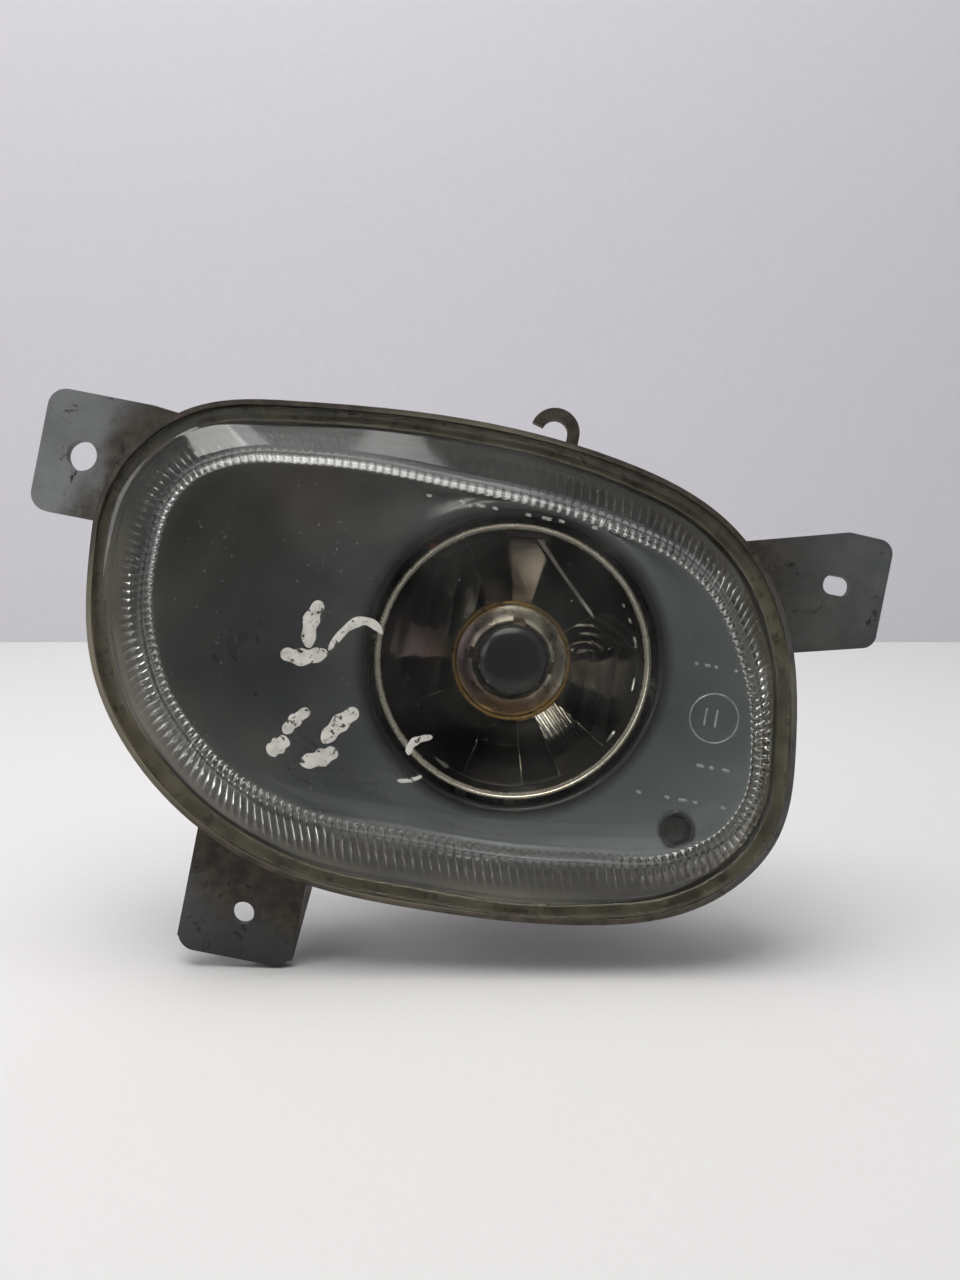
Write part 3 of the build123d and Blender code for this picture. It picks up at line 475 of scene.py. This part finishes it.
def quartz_material():
    """Clear quartz of the bulb."""
    n = Nodes("quartz_glass")
    n.set(Base_Color=(0.97, 0.97, 0.97, 1), Roughness=0.02, Transmission_Weight=1.0, IOR=1.46)
    return n.material


def old_paint_material():
    """Worn white marker paint, chipped through to the glass."""
    n = Nodes("worn_paint")
    chips = n.ramp(n.noise(560, 5, 0.7), 0.40, 0.44)
    n.set(Base_Color=n.mix(n.ramp(n.noise(300, 3), 0.4, 0.7), (0.72, 0.70, 0.64), (0.50, 0.48, 0.43)),
          Roughness=0.7, Alpha=chips)
    n.bump(n.noise(500, 4), 0.08, 0.5)
    return n.material


# ---- Settings a user would change ----
class LensSettings(bpy.types.PropertyGroup):
    flute_pitch: bpy.props.FloatProperty(
        name="Flute pitch", description="Distance between flutes along the skirt", default=2.35, min=1.0,
        soft_max=6.0)
    flute_depth: bpy.props.FloatProperty(
        name="Flute depth", description="How far a flute stands in from the skirt", default=0.85, min=0.0,
        soft_max=2.0)
    flute_samples: bpy.props.IntProperty(
        name="Points per flute", description="Columns of the mesh for each flute", default=7, min=3, max=10)
    crown: bpy.props.FloatProperty(
        name="Crown radius", description="Radius of the front's shallow dome, in millimetres", default=900.0,
        min=300.0)


class ReflectorSettings(bpy.types.PropertyGroup):
    focal_length: bpy.props.FloatProperty(
        name="Focal length", description="Focal length of the bowl, in millimetres", default=15.0, min=5.0)
    facet_depth: bpy.props.FloatProperty(
        name="Facet depth", description="Height of the facets over the bowl, in millimetres", default=0.5,
        min=0.0, soft_max=1.5)


class StageSettings(bpy.types.PropertyGroup):
    roll: bpy.props.FloatProperty(
        name="Roll", description="How far the lamp leans to one side as it stands", default=math.radians(11),
        subtype="ANGLE", unit="ROTATION")
    pitch: bpy.props.FloatProperty(
        name="Pitch", description="How far the lamp leans back as it stands", default=math.radians(12),
        subtype="ANGLE", unit="ROTATION")
    distance: bpy.props.FloatProperty(
        name="Camera distance", description="From the rim plane to the camera", default=0.4, min=0.2,
        unit="LENGTH")
    floor_colour: bpy.props.FloatVectorProperty(
        name="Floor colour", description="Colour of the plain floor", default=(0.69, 0.685, 0.68), size=3,
        subtype="COLOR", min=0.0, max=1.0)


# ---- Lens ----
LENS_WALL = 3.0
FLANGE_INSET = 1.8
SKIRT_INSET = 5.5
FLANGE_FRONT = -2.5
LENS_POLE = -19.6
LENS_CORNER = 3.5
CORNER_TURN = 80           # degrees of the rounded edge before the skirt begins
DAB_EDGE = 0.03            # height of the paint's edge over the glass
DAB_MIDDLE = 0.06          # further height along its middle


def crown_depth(loop, radius, pole):
    """Depth of the shallow dome under each point of a loop."""
    away = (loop[:, 0] - MIDDLE[0]) ** 2 + (loop[:, 1] - MIDDLE[1]) ** 2
    return pole + radius - np.sqrt(radius**2 - away)


class FOGLIGHT_OT_lens(bpy.types.Operator):
    """Pressed glass lens with a fluted skirt"""
    bl_idname = "foglight.lens"
    bl_label = "Lens"

    def execute(self, context):
        settings = context.scene.foglight_lens
        _, _, length = even_pair(64)
        flutes = round(length / settings.flute_pitch)
        count = flutes * settings.flute_samples
        rim, face, _ = even_pair(count)
        phase = np.arange(count) / settings.flute_samples * math.pi
        scallop = np.abs(np.sin(phase))
        heading = np.arctan2(rim[:, 1] - MIDDLE[1], rim[:, 0] - MIDDLE[0])
        low_left = np.clip(np.cos(heading - math.radians(225)), 0, 1)
        right = np.clip(np.cos(heading - math.radians(5)), 0, 1)
        depth = settings.flute_depth * (0.30 + 0.70 * np.maximum(low_left, 0.8 * right))
        foot = inwards(rim, SKIRT_INSET)
        face = inwards(face, 0.9)
        face_depth = crown_depth(face, settings.crown, LENS_POLE)

        def shrunk(loop, share):
            centre = np.array(MIDDLE)
            return centre + (loop - centre) * share

        rings = []
        # Outside, from the middle of the dome to the skirt's rounded edge.
        for share in (0.05, 0.25, 0.5, 0.72, 0.88):
            loop = shrunk(inwards(face, LENS_CORNER), share)
            rings.append(ring_points(loop, crown_depth(loop, settings.crown, LENS_POLE)))
        for turn in np.linspace(0, CORNER_TURN, 8):
            angle = math.radians(turn)
            start_loop = inwards(face, LENS_CORNER * (1 - math.sin(angle)))
            start_depth = face_depth + LENS_CORNER * (1 - math.cos(angle))
            rings.append(ring_points(start_loop, start_depth))
        for share in (0.25, 0.5, 0.75, 0.9, 0.97):
            loop = start_loop * (1 - share) + foot * share
            rings.append(ring_points(loop, start_depth * (1 - share) + (FLANGE_FRONT - 0.4) * share))
        # Flange.
        rings.append(ring_points(inwards(rim, SKIRT_INSET - 0.5), FLANGE_FRONT))
        rings.append(ring_points(inwards(rim, FLANGE_INSET + 0.5), FLANGE_FRONT))
        rings.append(ring_points(inwards(rim, FLANGE_INSET), FLANGE_FRONT + 0.5))
        rings.append(ring_points(inwards(rim, FLANGE_INSET), -0.3))
        rings.append(ring_points(inwards(rim, FLANGE_INSET + 0.3), -0.05))
        rings.append(ring_points(inwards(rim, SKIRT_INSET + LENS_WALL - 0.3), -0.05))
        # Inside, up the fluted skirt.
        inner_foot = inwards(rim, SKIRT_INSET + LENS_WALL)
        inner_face = inwards(face, LENS_WALL - 0.6)
        inner_depth = face_depth + LENS_WALL
        for share, flute in ((0.0, 0), (0.12, 0.1), (0.2, 0.3), (0.3, 0.5), (0.45, 0.62), (0.65, 0.75),
                             (0.85, 0.9), (0.97, 1)):
            loop = inner_foot * (1 - share) + inner_face * share
            loop = inwards(loop, scallop * flute * depth)
            rings.append(ring_points(loop, -0.3 * (1 - share) + inner_depth * share))
        loop = inwards(inner_face, scallop * depth + 0.45)
        rings.append(ring_points(loop, inner_depth))
        loop = inwards(inner_face, settings.flute_depth + 0.9)
        rings.append(ring_points(loop, inner_depth + 0.05))
        inner_pole = LENS_POLE + LENS_WALL
        for share in (0.96, 0.8, 0.5, 0.25, 0.05):
            loop = shrunk(inwards(inner_face, 2.0), share)
            rings.append(ring_points(loop, crown_depth(loop, settings.crown, inner_pole)))
        bm = bmesh.new()
        first, last = extruded_rings(bm, rings)
        for edges in (first, last):
            bmesh.ops.contextual_create(bm, geom=edges)
        lens = new_piece("glass_lens", bm, lens_glass_material(), "housing", ["lens"], 40)
        lens.visible_shadow = False
        return {"FINISHED"}


class FOGLIGHT_OT_lens_marks(bpy.types.Operator):
    """Generic raised marks in the lens: a ring and plain bars"""
    bl_idname = "foglight.lens_marks"
    bl_label = "Lens Marks"

    def execute(self, context):
        radius = context.scene.foglight_lens.crown

        def under_front(x, z):
            away = (x - MIDDLE[0]) ** 2 + (z - MIDDLE[1]) ** 2
            return LENS_POLE + radius - math.sqrt(radius**2 - away) + LENS_WALL

        bm = bmesh.new()
        ring_x, ring_z = 53.1, -4.4
        depth = under_front(ring_x, ring_z)
        add_turned(bm, [(6.1, depth - 0.1), (6.2, depth + 0.2), (6.4, depth + 0.2), (6.5, depth - 0.1)],
                   ring_x, ring_z, 64)
        for x in (50.6, 53.4):
            add_block(bm, (x, ring_z - 2.2, depth - 0.1), (x + 0.5, ring_z + 2.2, depth + 0.3))
        rows = [(45.5, 8.5, 5, 2.6), (47.5, -17.0, 4, 3.4), (37.0, -26.5, 7, 3.7), (-30.0, 37.4, 11, 4.3)]
        for start, z, bars, pitch in rows:
            for index in range(bars):
                if (index * 5 + bars) % 4 == 0:
                    continue
                x = start + index * pitch
                depth = under_front(x, z)
                width = pitch * (0.34 + 0.22 * ((index * 3) % 2))
                add_block(bm, (x, z - 0.35, depth - 0.1), (x + width, z + 0.35, depth + 0.3))
        bmesh.ops.bevel(bm, geom=bm.edges[:], offset=0.08 * MM, segments=1, affect="EDGES", profile=0.5,
                        material=-1)
        marks = new_piece("lens_marks", bm, frosted_mark_material(), "housing")
        marks.visible_shadow = False
        return {"FINISHED"}


class FOGLIGHT_OT_paint_daubs(bpy.types.Operator):
    """Worn dabs of white paint on the glass"""
    bl_idname = "foglight.paint_daubs"
    bl_label = "Paint Daubs"

    def execute(self, context):
        radius = context.scene.foglight_lens.crown
        # Start, bend, end and width of each dab.
        dabs = [
            ((-58.4, -8.6), (-53.0, -10.6), (-47.0, -6.4), 3.3),
            ((-50.6, 5.6), (-53.8, 1.0), (-51.6, -6.4), 3.2),
            ((-46.6, -6.0), (-41.0, 7.6), (-34.0, 0.6), 1.9),
            ((-48.6, -21.8), (-52.6, -25.4), (-53.6, -29.0), 2.6),
            ((-52.6, -30.0), (-54.8, -32.6), (-57.0, -34.6), 3.3),
            ((-36.4, -19.6), (-41.0, -23.4), (-43.6, -29.4), 3.4),
            ((-40.0, -30.4), (-42.6, -33.6), (-48.4, -35.4), 3.4),
            ((-16.6, -22.6), (-23.0, -24.4), (-21.6, -28.2), 1.6),
            ((-17.4, -32.8), (-19.6, -34.8), (-23.4, -35.2), 0.9),
        ]
        bm = bmesh.new()
        for start, bend, end, width in dabs:
            start, bend, end = (np.array(point) for point in (start, bend, end))
            strip = bmesh.ops.create_grid(bm, x_segments=28, y_segments=4, size=1.0)
            for vert in strip["verts"]:
                share = (vert.co.x + 1) / 2
                place = start * (1 - share) ** 2 + bend * 2 * share * (1 - share) + end * share**2
                heading = (bend - start) * (1 - share) + (end - bend) * share
                heading /= np.linalg.norm(heading)
                ripple = 1 + 0.13 * math.sin(share * 17)
                swell = width / 2 * (0.25 + math.sin(share * math.pi) ** 0.4) * ripple
                x, z = place + np.array([-heading[1], heading[0]]) * swell * vert.co.y
                away = (x - MIDDLE[0]) ** 2 + (z - MIDDLE[1]) ** 2
                dome = LENS_POLE + radius - math.sqrt(radius**2 - away)
                vert.co = at(x, z, dome - DAB_EDGE - DAB_MIDDLE * (1 - vert.co.y**2))
        bmesh.ops.recalc_face_normals(bm, faces=bm.faces[:])
        for face in bm.faces:
            if face.normal.y > 0:
                face.normal_flip()
        new_piece("paint_daubs", bm, old_paint_material(), "housing")
        return {"FINISHED"}


# ---- Bezel ----
COLLAR_RADIUS = 38.2
EDGE_ROLL = 1.6            # radius of the rolled edges, at the rim and at the opening
DISH_RADIUS = 42.5         # where the dish meets the rolled opening
DISH_FRONT = -4.6
BEZEL_SCREW = (50.6, -35.4)


class FOGLIGHT_OT_bezel(bpy.types.Operator):
    """Dished inner trim with a rolled opening and a screw recess"""
    bl_idname = "foglight.bezel"
    bl_label = "Bezel"

    def execute(self, context):
        _, face, _ = even_pair(384)
        reach = np.linalg.norm(face, axis=1)[:, None]
        rays = face / reach
        rings = []
        outer = inwards(face, 0.1)
        rings.append(ring_points(outer, 0.8))
        rings.append(ring_points(outer, -2.0))
        for turn in (0, 30, 60, 90):
            angle = math.radians(turn)
            loop = inwards(outer, EDGE_ROLL * (1 - math.cos(angle)))
            rings.append(ring_points(loop, -3.0 - EDGE_ROLL * math.sin(angle)))
        start = inwards(outer, EDGE_ROLL)
        for share in (0.1, 0.25, 0.45, 0.65, 0.82, 0.93, 1.0):
            loop = start * (1 - share) + rays * DISH_RADIUS * share
            dish = DISH_FRONT + 1.5 * math.sin(share * math.pi)
            rings.append(ring_points(loop, dish))
        for turn in (20, 45, 70, 90):
            angle = math.radians(turn)
            radius = COLLAR_RADIUS + EDGE_ROLL + 2.7 * (1 - math.sin(angle))
            rings.append(ring_points(rays * radius, DISH_FRONT - 0.3 * math.sin(angle)))
        for turn in (30, 60, 90):
            angle = math.radians(turn)
            radius = COLLAR_RADIUS + EDGE_ROLL * (1 - math.sin(angle))
            rings.append(ring_points(rays * radius, -3.3 - EDGE_ROLL * math.cos(angle)))
        rings.append(ring_points(rays * COLLAR_RADIUS, 0.9))
        bm = bmesh.new()
        extruded_rings(bm, rings)
        bezel = new_piece("inner_bezel", bm, bezel_material(), "housing", ["bezel"])
        wall = bezel.modifiers.new("wall", "SOLIDIFY")
        wall.thickness = 1.2 * MM
        wall.offset = -1.0
        apply_modifiers(bezel)
        cutter = bmesh.new()
        add_turned(cutter, [(0, -7), (3.9, -7), (3.9, 2), (0, 2)], *BEZEL_SCREW, 48)
        carve(bezel, cutter)
        # The recess takes the bezel paint, which is near-black inside it as painted shade.
        cup = bmesh.new()
        add_turned(cup, [(4.6, -4.0), (4.3, -4.5), (3.9, -4.3), (3.8, -3.9), (3.75, 1.2), (1.7, 1.5),
                         (1.7, 2.9), (4.9, 2.9), (4.9, -3.0)], *BEZEL_SCREW, 64, closed=True)
        new_piece("screw_recess", cup, bezel_material(), "housing")
        return {"FINISHED"}


# ---- Reflector ----
BOWL_RADIUS = 35.1
BOWL_FOCUS = 15.0
VERTEX_DEPTH = BOWL_RADIUS**2 / (4 * BOWL_FOCUS)
FACETS_END = 33.0          # beyond this radius the bowl is plain


def facet_height(x, z):
    """Height of the facets over the bowl, from -1 to 1, at a place seen from the front."""
    angle = math.degrees(math.atan2(z, x)) % 360
    radius = math.hypot(x, z)
    if radius > FACETS_END:
        return 0.0
    if 92 <= angle < 122:
        return 0.9 - 0.12 * (radius - 17) / 16
    if 40 <= angle < 92:
        # A slanted edge parts the dark upper block from the shallow field outside it.
        past_edge = (12 * (x - 3) + 13 * (z - 30)) / 17.7
        return 0.85 - 0.8 * min(max(past_edge / 1.6, 0), 1)
    if 18 <= angle < 40:
        arch = math.hypot(x - 20, z - 2)
        return 0.16 * math.sin(arch * math.tau / 2.3)
    if angle < 18 or angle >= 328:
        return 0.28 * abs(math.sin(x * math.pi / 7.0))
    if 122 <= angle < 214:
        return 0.30 * abs(math.sin(x * math.pi / 6.2)) - 0.2
    if 214 <= angle < 258:
        return -0.5 + 0.9 * (angle - 214) / 44
    if 258 <= angle < 286:
        return 0.75 if radius > 23 else 0.1
    if 286 <= angle < 304:
        return -0.8
    return 0.22 * math.sin((x + z) * math.tau / 2.2) if radius < 24 else 0.5


class FOGLIGHT_OT_reflector(bpy.types.Operator):
    """Faceted mirror skin on the bowl and its bright lip"""
    bl_idname = "foglight.reflector"
    bl_label = "Reflector"

    def execute(self, context):
        settings = context.scene.foglight_reflector
        angles = np.linspace(0, math.tau, 540, endpoint=False)
        circle = np.stack([np.cos(angles), np.sin(angles)], axis=1)
        rings = []
        for radius in np.concatenate([[34.95, 34.4, 33.6, 33.05, 32.9], np.linspace(32.4, 16.2, 44)]):
            loop = circle * radius
            bowl = VERTEX_DEPTH - radius**2 / (4 * settings.focal_length) - 0.9
            heights = np.array([facet_height(x, z) for x, z in loop])
            rings.append(ring_points(loop, bowl - heights * settings.facet_depth))
        bm = bmesh.new()
        extruded_rings(bm, rings)
        new_piece("mirror_facets", bm, mirror_material(), "reflector", smooth=28)
        lip = bmesh.new()
        add_turned(lip, [(36.55, 0.6), (36.55, -1.2), (36.5, -1.7), (36.3, -2.1), (36.0, -2.25),
                         (35.7, -2.1), (35.5, -1.7), (35.45, -1.3), (35.25, -1.2), (35.0, -1.3),
                         (34.85, -1.0), (34.8, 0.0)], steps=192)
        new_piece("reflector_lip", lip, lip_material(), "reflector")
        return {"FINISHED"}


class FOGLIGHT_OT_bulb_shield(bpy.types.Operator):
    """Stained base ring, three legs and a domed cap in front of the bulb"""
    bl_idname = "foglight.bulb_shield"
    bl_label = "Bulb Shield"

    def execute(self, context):
        bm = bmesh.new()
        add_turned(bm, [(16.3, 15.9), (16.4, 15.2), (16.2, 14.7), (15.8, 14.5), (15.4, 14.7), (15.1, 15.2),
                        (14.7, 15.1), (12.8, 13.6), (11.4, 12.6), (10.9, 12.4), (10.5, 12.6), (10.4, 13.2),
                        (11.6, 14.2), (13.4, 15.8), (14.3, 16.1),
                        (14.3, 20), (14.9, 20), (14.9, 16.1)], steps=128, closed=True)
        add_turned(bm, [(0, -3.0), (2.5, -2.95), (5.0, -2.75), (7.2, -2.3), (8.7, -1.6), (9.3, -0.7),
                        (9.4, 0.4), (9.4, 3.0), (9.1, 3.15), (8.8, 3.0), (8.8, 0.5), (8.2, -0.8),
                        (6.8, -1.6), (4.5, -2.1), (0, -2.3)], steps=96)
        for turn in (90, 180, 0):
            spot = at(0, 0, 0)
            verts = add_block(bm, (8.75, -1.7, 1.0), (9.4, 1.7, 15.2))
            for vert in verts:
                if vert.co.y > at(0, 0, 10).y:
                    vert.co.x += 3.0 * MM
            bmesh.ops.rotate(bm, verts=verts, cent=spot, matrix=Matrix.Rotation(-math.radians(turn), 3, "Y"))
        new_piece("shield", bm, shield_material(), "reflector", ["bulb_shield"], 45)
        return {"FINISHED"}


# ---- Finishes of the pieces that stay as they are ----
class FOGLIGHT_OT_finishes(bpy.types.Operator):
    """Finishes of the housing, the fastenings and the inner pieces"""
    bl_idname = "foglight.finishes"
    bl_label = "Finishes"

    def execute(self, context):
        nylon = plain_plastic("natural_nylon", (0.60, 0.57, 0.48), (0.70, 0.67, 0.58), 0.45)
        rubber = plain_plastic("black_rubber", (0.018, 0.018, 0.018), (0.035, 0.034, 0.033), 0.62, 0.08)
        zinc = metal("zinc_steel", (0.62, 0.60, 0.54), (0.36, 0.31, 0.22), 0.32)
        spring = metal("spring_steel", (0.60, 0.60, 0.58), (0.40, 0.36, 0.30), 0.28)
        brass = metal("tinned_brass", (0.74, 0.62, 0.36), (0.44, 0.36, 0.22), 0.30)
        stained = metal("stained_steel", (0.52, 0.47, 0.42), (0.34, 0.24, 0.18), 0.32)
        cap = plain_plastic("cap_plastic", (0.040, 0.042, 0.044), (0.062, 0.064, 0.066), 0.5, 0.10)
        socket = plain_plastic("socket_plastic", (0.030, 0.030, 0.032), (0.050, 0.050, 0.052), 0.45)
        finishes = {
            housing_material(): ["housing", "rear_chamber", "left_ear", "right_ear", "bottom_ear",
                                 "harness_hook"],
            sealant_material(): ["lens_seal"],
            reflector_back_material(): ["reflector"],
            plain_plastic("black_screw", (0.010, 0.010, 0.011), (0.022, 0.021, 0.020), 0.42): ["bezel_screw"],
            zinc: ["pivot_pins", "bulb_holder", "holder_rivets", "adjuster_screw"],
            spring: ["bulb_clip", "adjuster_retaining_clip"],
            brass: ["connector_terminals", "bulb_terminal"],
            stained: ["bulb_base"],
            metal("tungsten", (0.34, 0.34, 0.35), (0.20, 0.20, 0.21), 0.35): ["bulb_filament"],
            nylon: ["pivot_bushes", "adjuster_bush", "adjuster_knob", "adjuster_nut"],
            rubber: ["connector_seal", "breather_cap", "adjuster_oring", "rear_cap_seal"],
            plain_plastic("boot_rubber", (0.060, 0.060, 0.064), (0.09, 0.09, 0.095), 0.6): ["terminal_boot"],
            plain_plastic("filter_felt", (0.42, 0.42, 0.40), (0.55, 0.55, 0.52), 0.9, 0.2): [
                "breather_filter"],
            plain_plastic("ceramic", (0.66, 0.62, 0.54), (0.76, 0.73, 0.66), 0.55): ["bulb_insulator"],
            plain_plastic("lead_red", (0.30, 0.020, 0.015), (0.40, 0.035, 0.022), 0.4): ["live_lead"],
            plain_plastic("lead_black", (0.016, 0.016, 0.017), (0.028, 0.028, 0.030), 0.4): ["ground_lead"],
            cap: ["rear_cap"],
            socket: ["connector_socket"],
            quartz_material(): ["bulb_glass"],
        }
        for material, names in finishes.items():
            for name in names:
                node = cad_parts[name]
                node.data.materials.clear()
                node.data.materials.append(material)
        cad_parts["bulb_glass"].visible_shadow = False
        return {"FINISHED"}


# ---- Stage ----
VIEW_CENTRE_X = -9.5
VIEW_CENTRE_Z = 3.8


def stage_material(name, colour, grain):
    """Plain matt surface that is clear from behind, so it never hides the lamp."""
    n = Nodes(name)
    base = n.mix(n.ramp(n.noise(grain, 4), 0.3, 0.7), [c * 0.97 for c in colour], colour)
    n.set(Base_Color=base, Roughness=0.85, Specular_IOR_Level=0.2)
    out = n.tree.nodes["Material Output"]
    clear = n.add("ShaderNodeBsdfTransparent")
    facing = n.add("ShaderNodeNewGeometry").outputs["Backfacing"]
    pick = n.add("ShaderNodeMixShader")
    n.feed(pick.inputs[0], facing)
    n.feed(pick.inputs[1], n.shader.outputs[0])
    n.feed(pick.inputs[2], clear.outputs[0])
    n.feed(out.inputs["Surface"], pick.outputs[0])
    return n.material


class FOGLIGHT_OT_stage(bpy.types.Operator):
    """Floor, wall, lights and camera"""
    bl_idname = "foglight.stage"
    bl_label = "Stage"

    def panel(self, name, origin, across, up, size, material):
        """A flat sheet of the stage, centred, facing across x up."""
        bm = bmesh.new()
        facing = across.cross(up).normalized()
        turn = Matrix((across, up, facing)).transposed().to_4x4()
        bmesh.ops.create_grid(bm, x_segments=1, y_segments=1, size=0.5,
                              matrix=Matrix.Translation(origin) @ turn @ Matrix.Diagonal((*size, 1, 1)))
        mesh = bpy.data.meshes.new(name)
        bm.to_mesh(mesh)
        bm.free()
        sheet = bpy.data.objects.new(name, mesh)
        bpy.context.scene.collection.objects.link(sheet)
        mesh.materials.append(material)
        return sheet

    def lamp(self, name, place, target, size, power, colour=(1, 1, 1)):
        light = bpy.data.lights.new(name, "AREA")
        light.shape = "ELLIPSE"
        light.size, light.size_y = size
        light.energy = power
        light.color = colour
        holder = bpy.data.objects.new(name, light)
        bpy.context.scene.collection.objects.link(holder)
        aim = (place - target).to_track_quat("Z", "Y").to_matrix().to_4x4()
        holder.matrix_world = Matrix.Translation(place) @ aim

    def execute(self, context):
        settings = context.scene.foglight_stage
        roll = settings.roll
        pitch = settings.pitch
        camera_up = Vector((-math.sin(roll), 0, math.cos(roll)))
        right = Vector((math.cos(roll), 0, math.sin(roll)))
        ahead = Vector((0, 1, 0))
        floor_up = camera_up * math.cos(pitch) - ahead * math.sin(pitch)
        floor_ahead = ahead * math.cos(pitch) + camera_up * math.sin(pitch)
        lowest = min(floor_up.dot(vertex.co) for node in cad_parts.values()
                     for vertex in node.data.vertices)
        eye = at(VIEW_CENTRE_X, VIEW_CENTRE_Z, -settings.distance / MM)
        foot = eye + floor_up * (lowest - floor_up.dot(eye))
        floor = stage_material("floor", settings.floor_colour, 900)
        wall = stage_material("wall", (0.66, 0.65, 0.69), 300)
        depth = 0.80
        self.panel("floor", foot + floor_ahead * (depth - 0.9), right, floor_ahead, (3.0, 1.8), floor)
        self.panel("wall", foot + floor_ahead * depth + floor_up * 0.9, right, floor_up, (3.0, 1.8), wall)

        dark = stage_material("dark_card", (0.030, 0.030, 0.032), 200)
        # Seen only in reflections, where it keeps the glass and the mirror dark.
        card = self.panel("dark_card", eye - ahead * 0.25 + camera_up * 0.05, -right, camera_up,
                          (1.1, 0.9), dark)
        card.visible_camera = False

        data = bpy.data.cameras.new("camera")
        data.sensor_width = 36.0
        data.sensor_fit = "AUTO"
        data.lens = 42.3
        camera = bpy.data.objects.new("camera", data)
        context.scene.collection.objects.link(camera)
        turn = Matrix((right, camera_up, -ahead)).transposed().to_4x4()
        camera.matrix_world = Matrix.Translation(eye) @ turn
        context.scene.camera = camera

        middle = at(-20, 0, 0)
        self.lamp("ceiling", middle + floor_up * 0.75 - floor_ahead * 0.10 - right * 0.15, middle,
                  (0.9, 0.6), 5.8, (1.0, 0.985, 0.96))
        self.lamp("side", middle - right * 0.85 + floor_up * 0.45 - floor_ahead * 0.45, middle,
                  (0.5, 0.5), 1.6, (0.95, 0.97, 1.0))
        self.lamp("back", middle + floor_up * 0.9 + floor_ahead * 0.25, middle + floor_ahead * 0.3,
                  (1.2, 0.3), 2.4)
        world = bpy.data.worlds.new("world")
        world.use_nodes = True
        world.node_tree.nodes["Background"].inputs["Color"].default_value = (0.80, 0.81, 0.84, 1)
        world.node_tree.nodes["Background"].inputs["Strength"].default_value = 0.46
        context.scene.world = world
        context.scene.view_settings.view_transform = "Standard"
        return {"FINISHED"}


class FOGLIGHT_PT_panel(bpy.types.Panel):
    """Lists the pieces in the sidebar"""
    bl_label = "Fog Light"
    bl_idname = "FOGLIGHT_PT_panel"
    bl_space_type = "VIEW_3D"
    bl_region_type = "UI"
    bl_category = "Fog Light"

    def draw(self, context):
        for operator in OPERATORS:
            self.layout.operator(operator.bl_idname)
        for name in SETTINGS:
            group = getattr(context.scene, name)
            for key in group.bl_rna.properties.keys():
                if key not in ("rna_type", "name"):
                    self.layout.prop(group, key)


OPERATORS = (
    FOGLIGHT_OT_stage,
    FOGLIGHT_OT_finishes,
    FOGLIGHT_OT_lens,
    FOGLIGHT_OT_lens_marks,
    FOGLIGHT_OT_paint_daubs,
    FOGLIGHT_OT_bezel,
    FOGLIGHT_OT_reflector,
    FOGLIGHT_OT_bulb_shield,
)
SETTINGS = {
    "foglight_lens": LensSettings,
    "foglight_reflector": ReflectorSettings,
    "foglight_stage": StageSettings,
}


def register():
    for settings in SETTINGS.values():
        bpy.utils.register_class(settings)
    for operator in OPERATORS:
        bpy.utils.register_class(operator)
    bpy.utils.register_class(FOGLIGHT_PT_panel)
    for name, settings in SETTINGS.items():
        setattr(bpy.types.Scene, name, bpy.props.PointerProperty(type=settings))


def unregister():
    for name in SETTINGS:
        delattr(bpy.types.Scene, name)
    bpy.utils.unregister_class(FOGLIGHT_PT_panel)
    for operator in reversed(OPERATORS):
        bpy.utils.unregister_class(operator)
    for settings in SETTINGS.values():
        bpy.utils.unregister_class(settings)


def main():
    register()
    for operator in OPERATORS:
        group, name = operator.bl_idname.split(".")
        getattr(getattr(bpy.ops, group), name)()


if __name__ == "__main__":
    main()
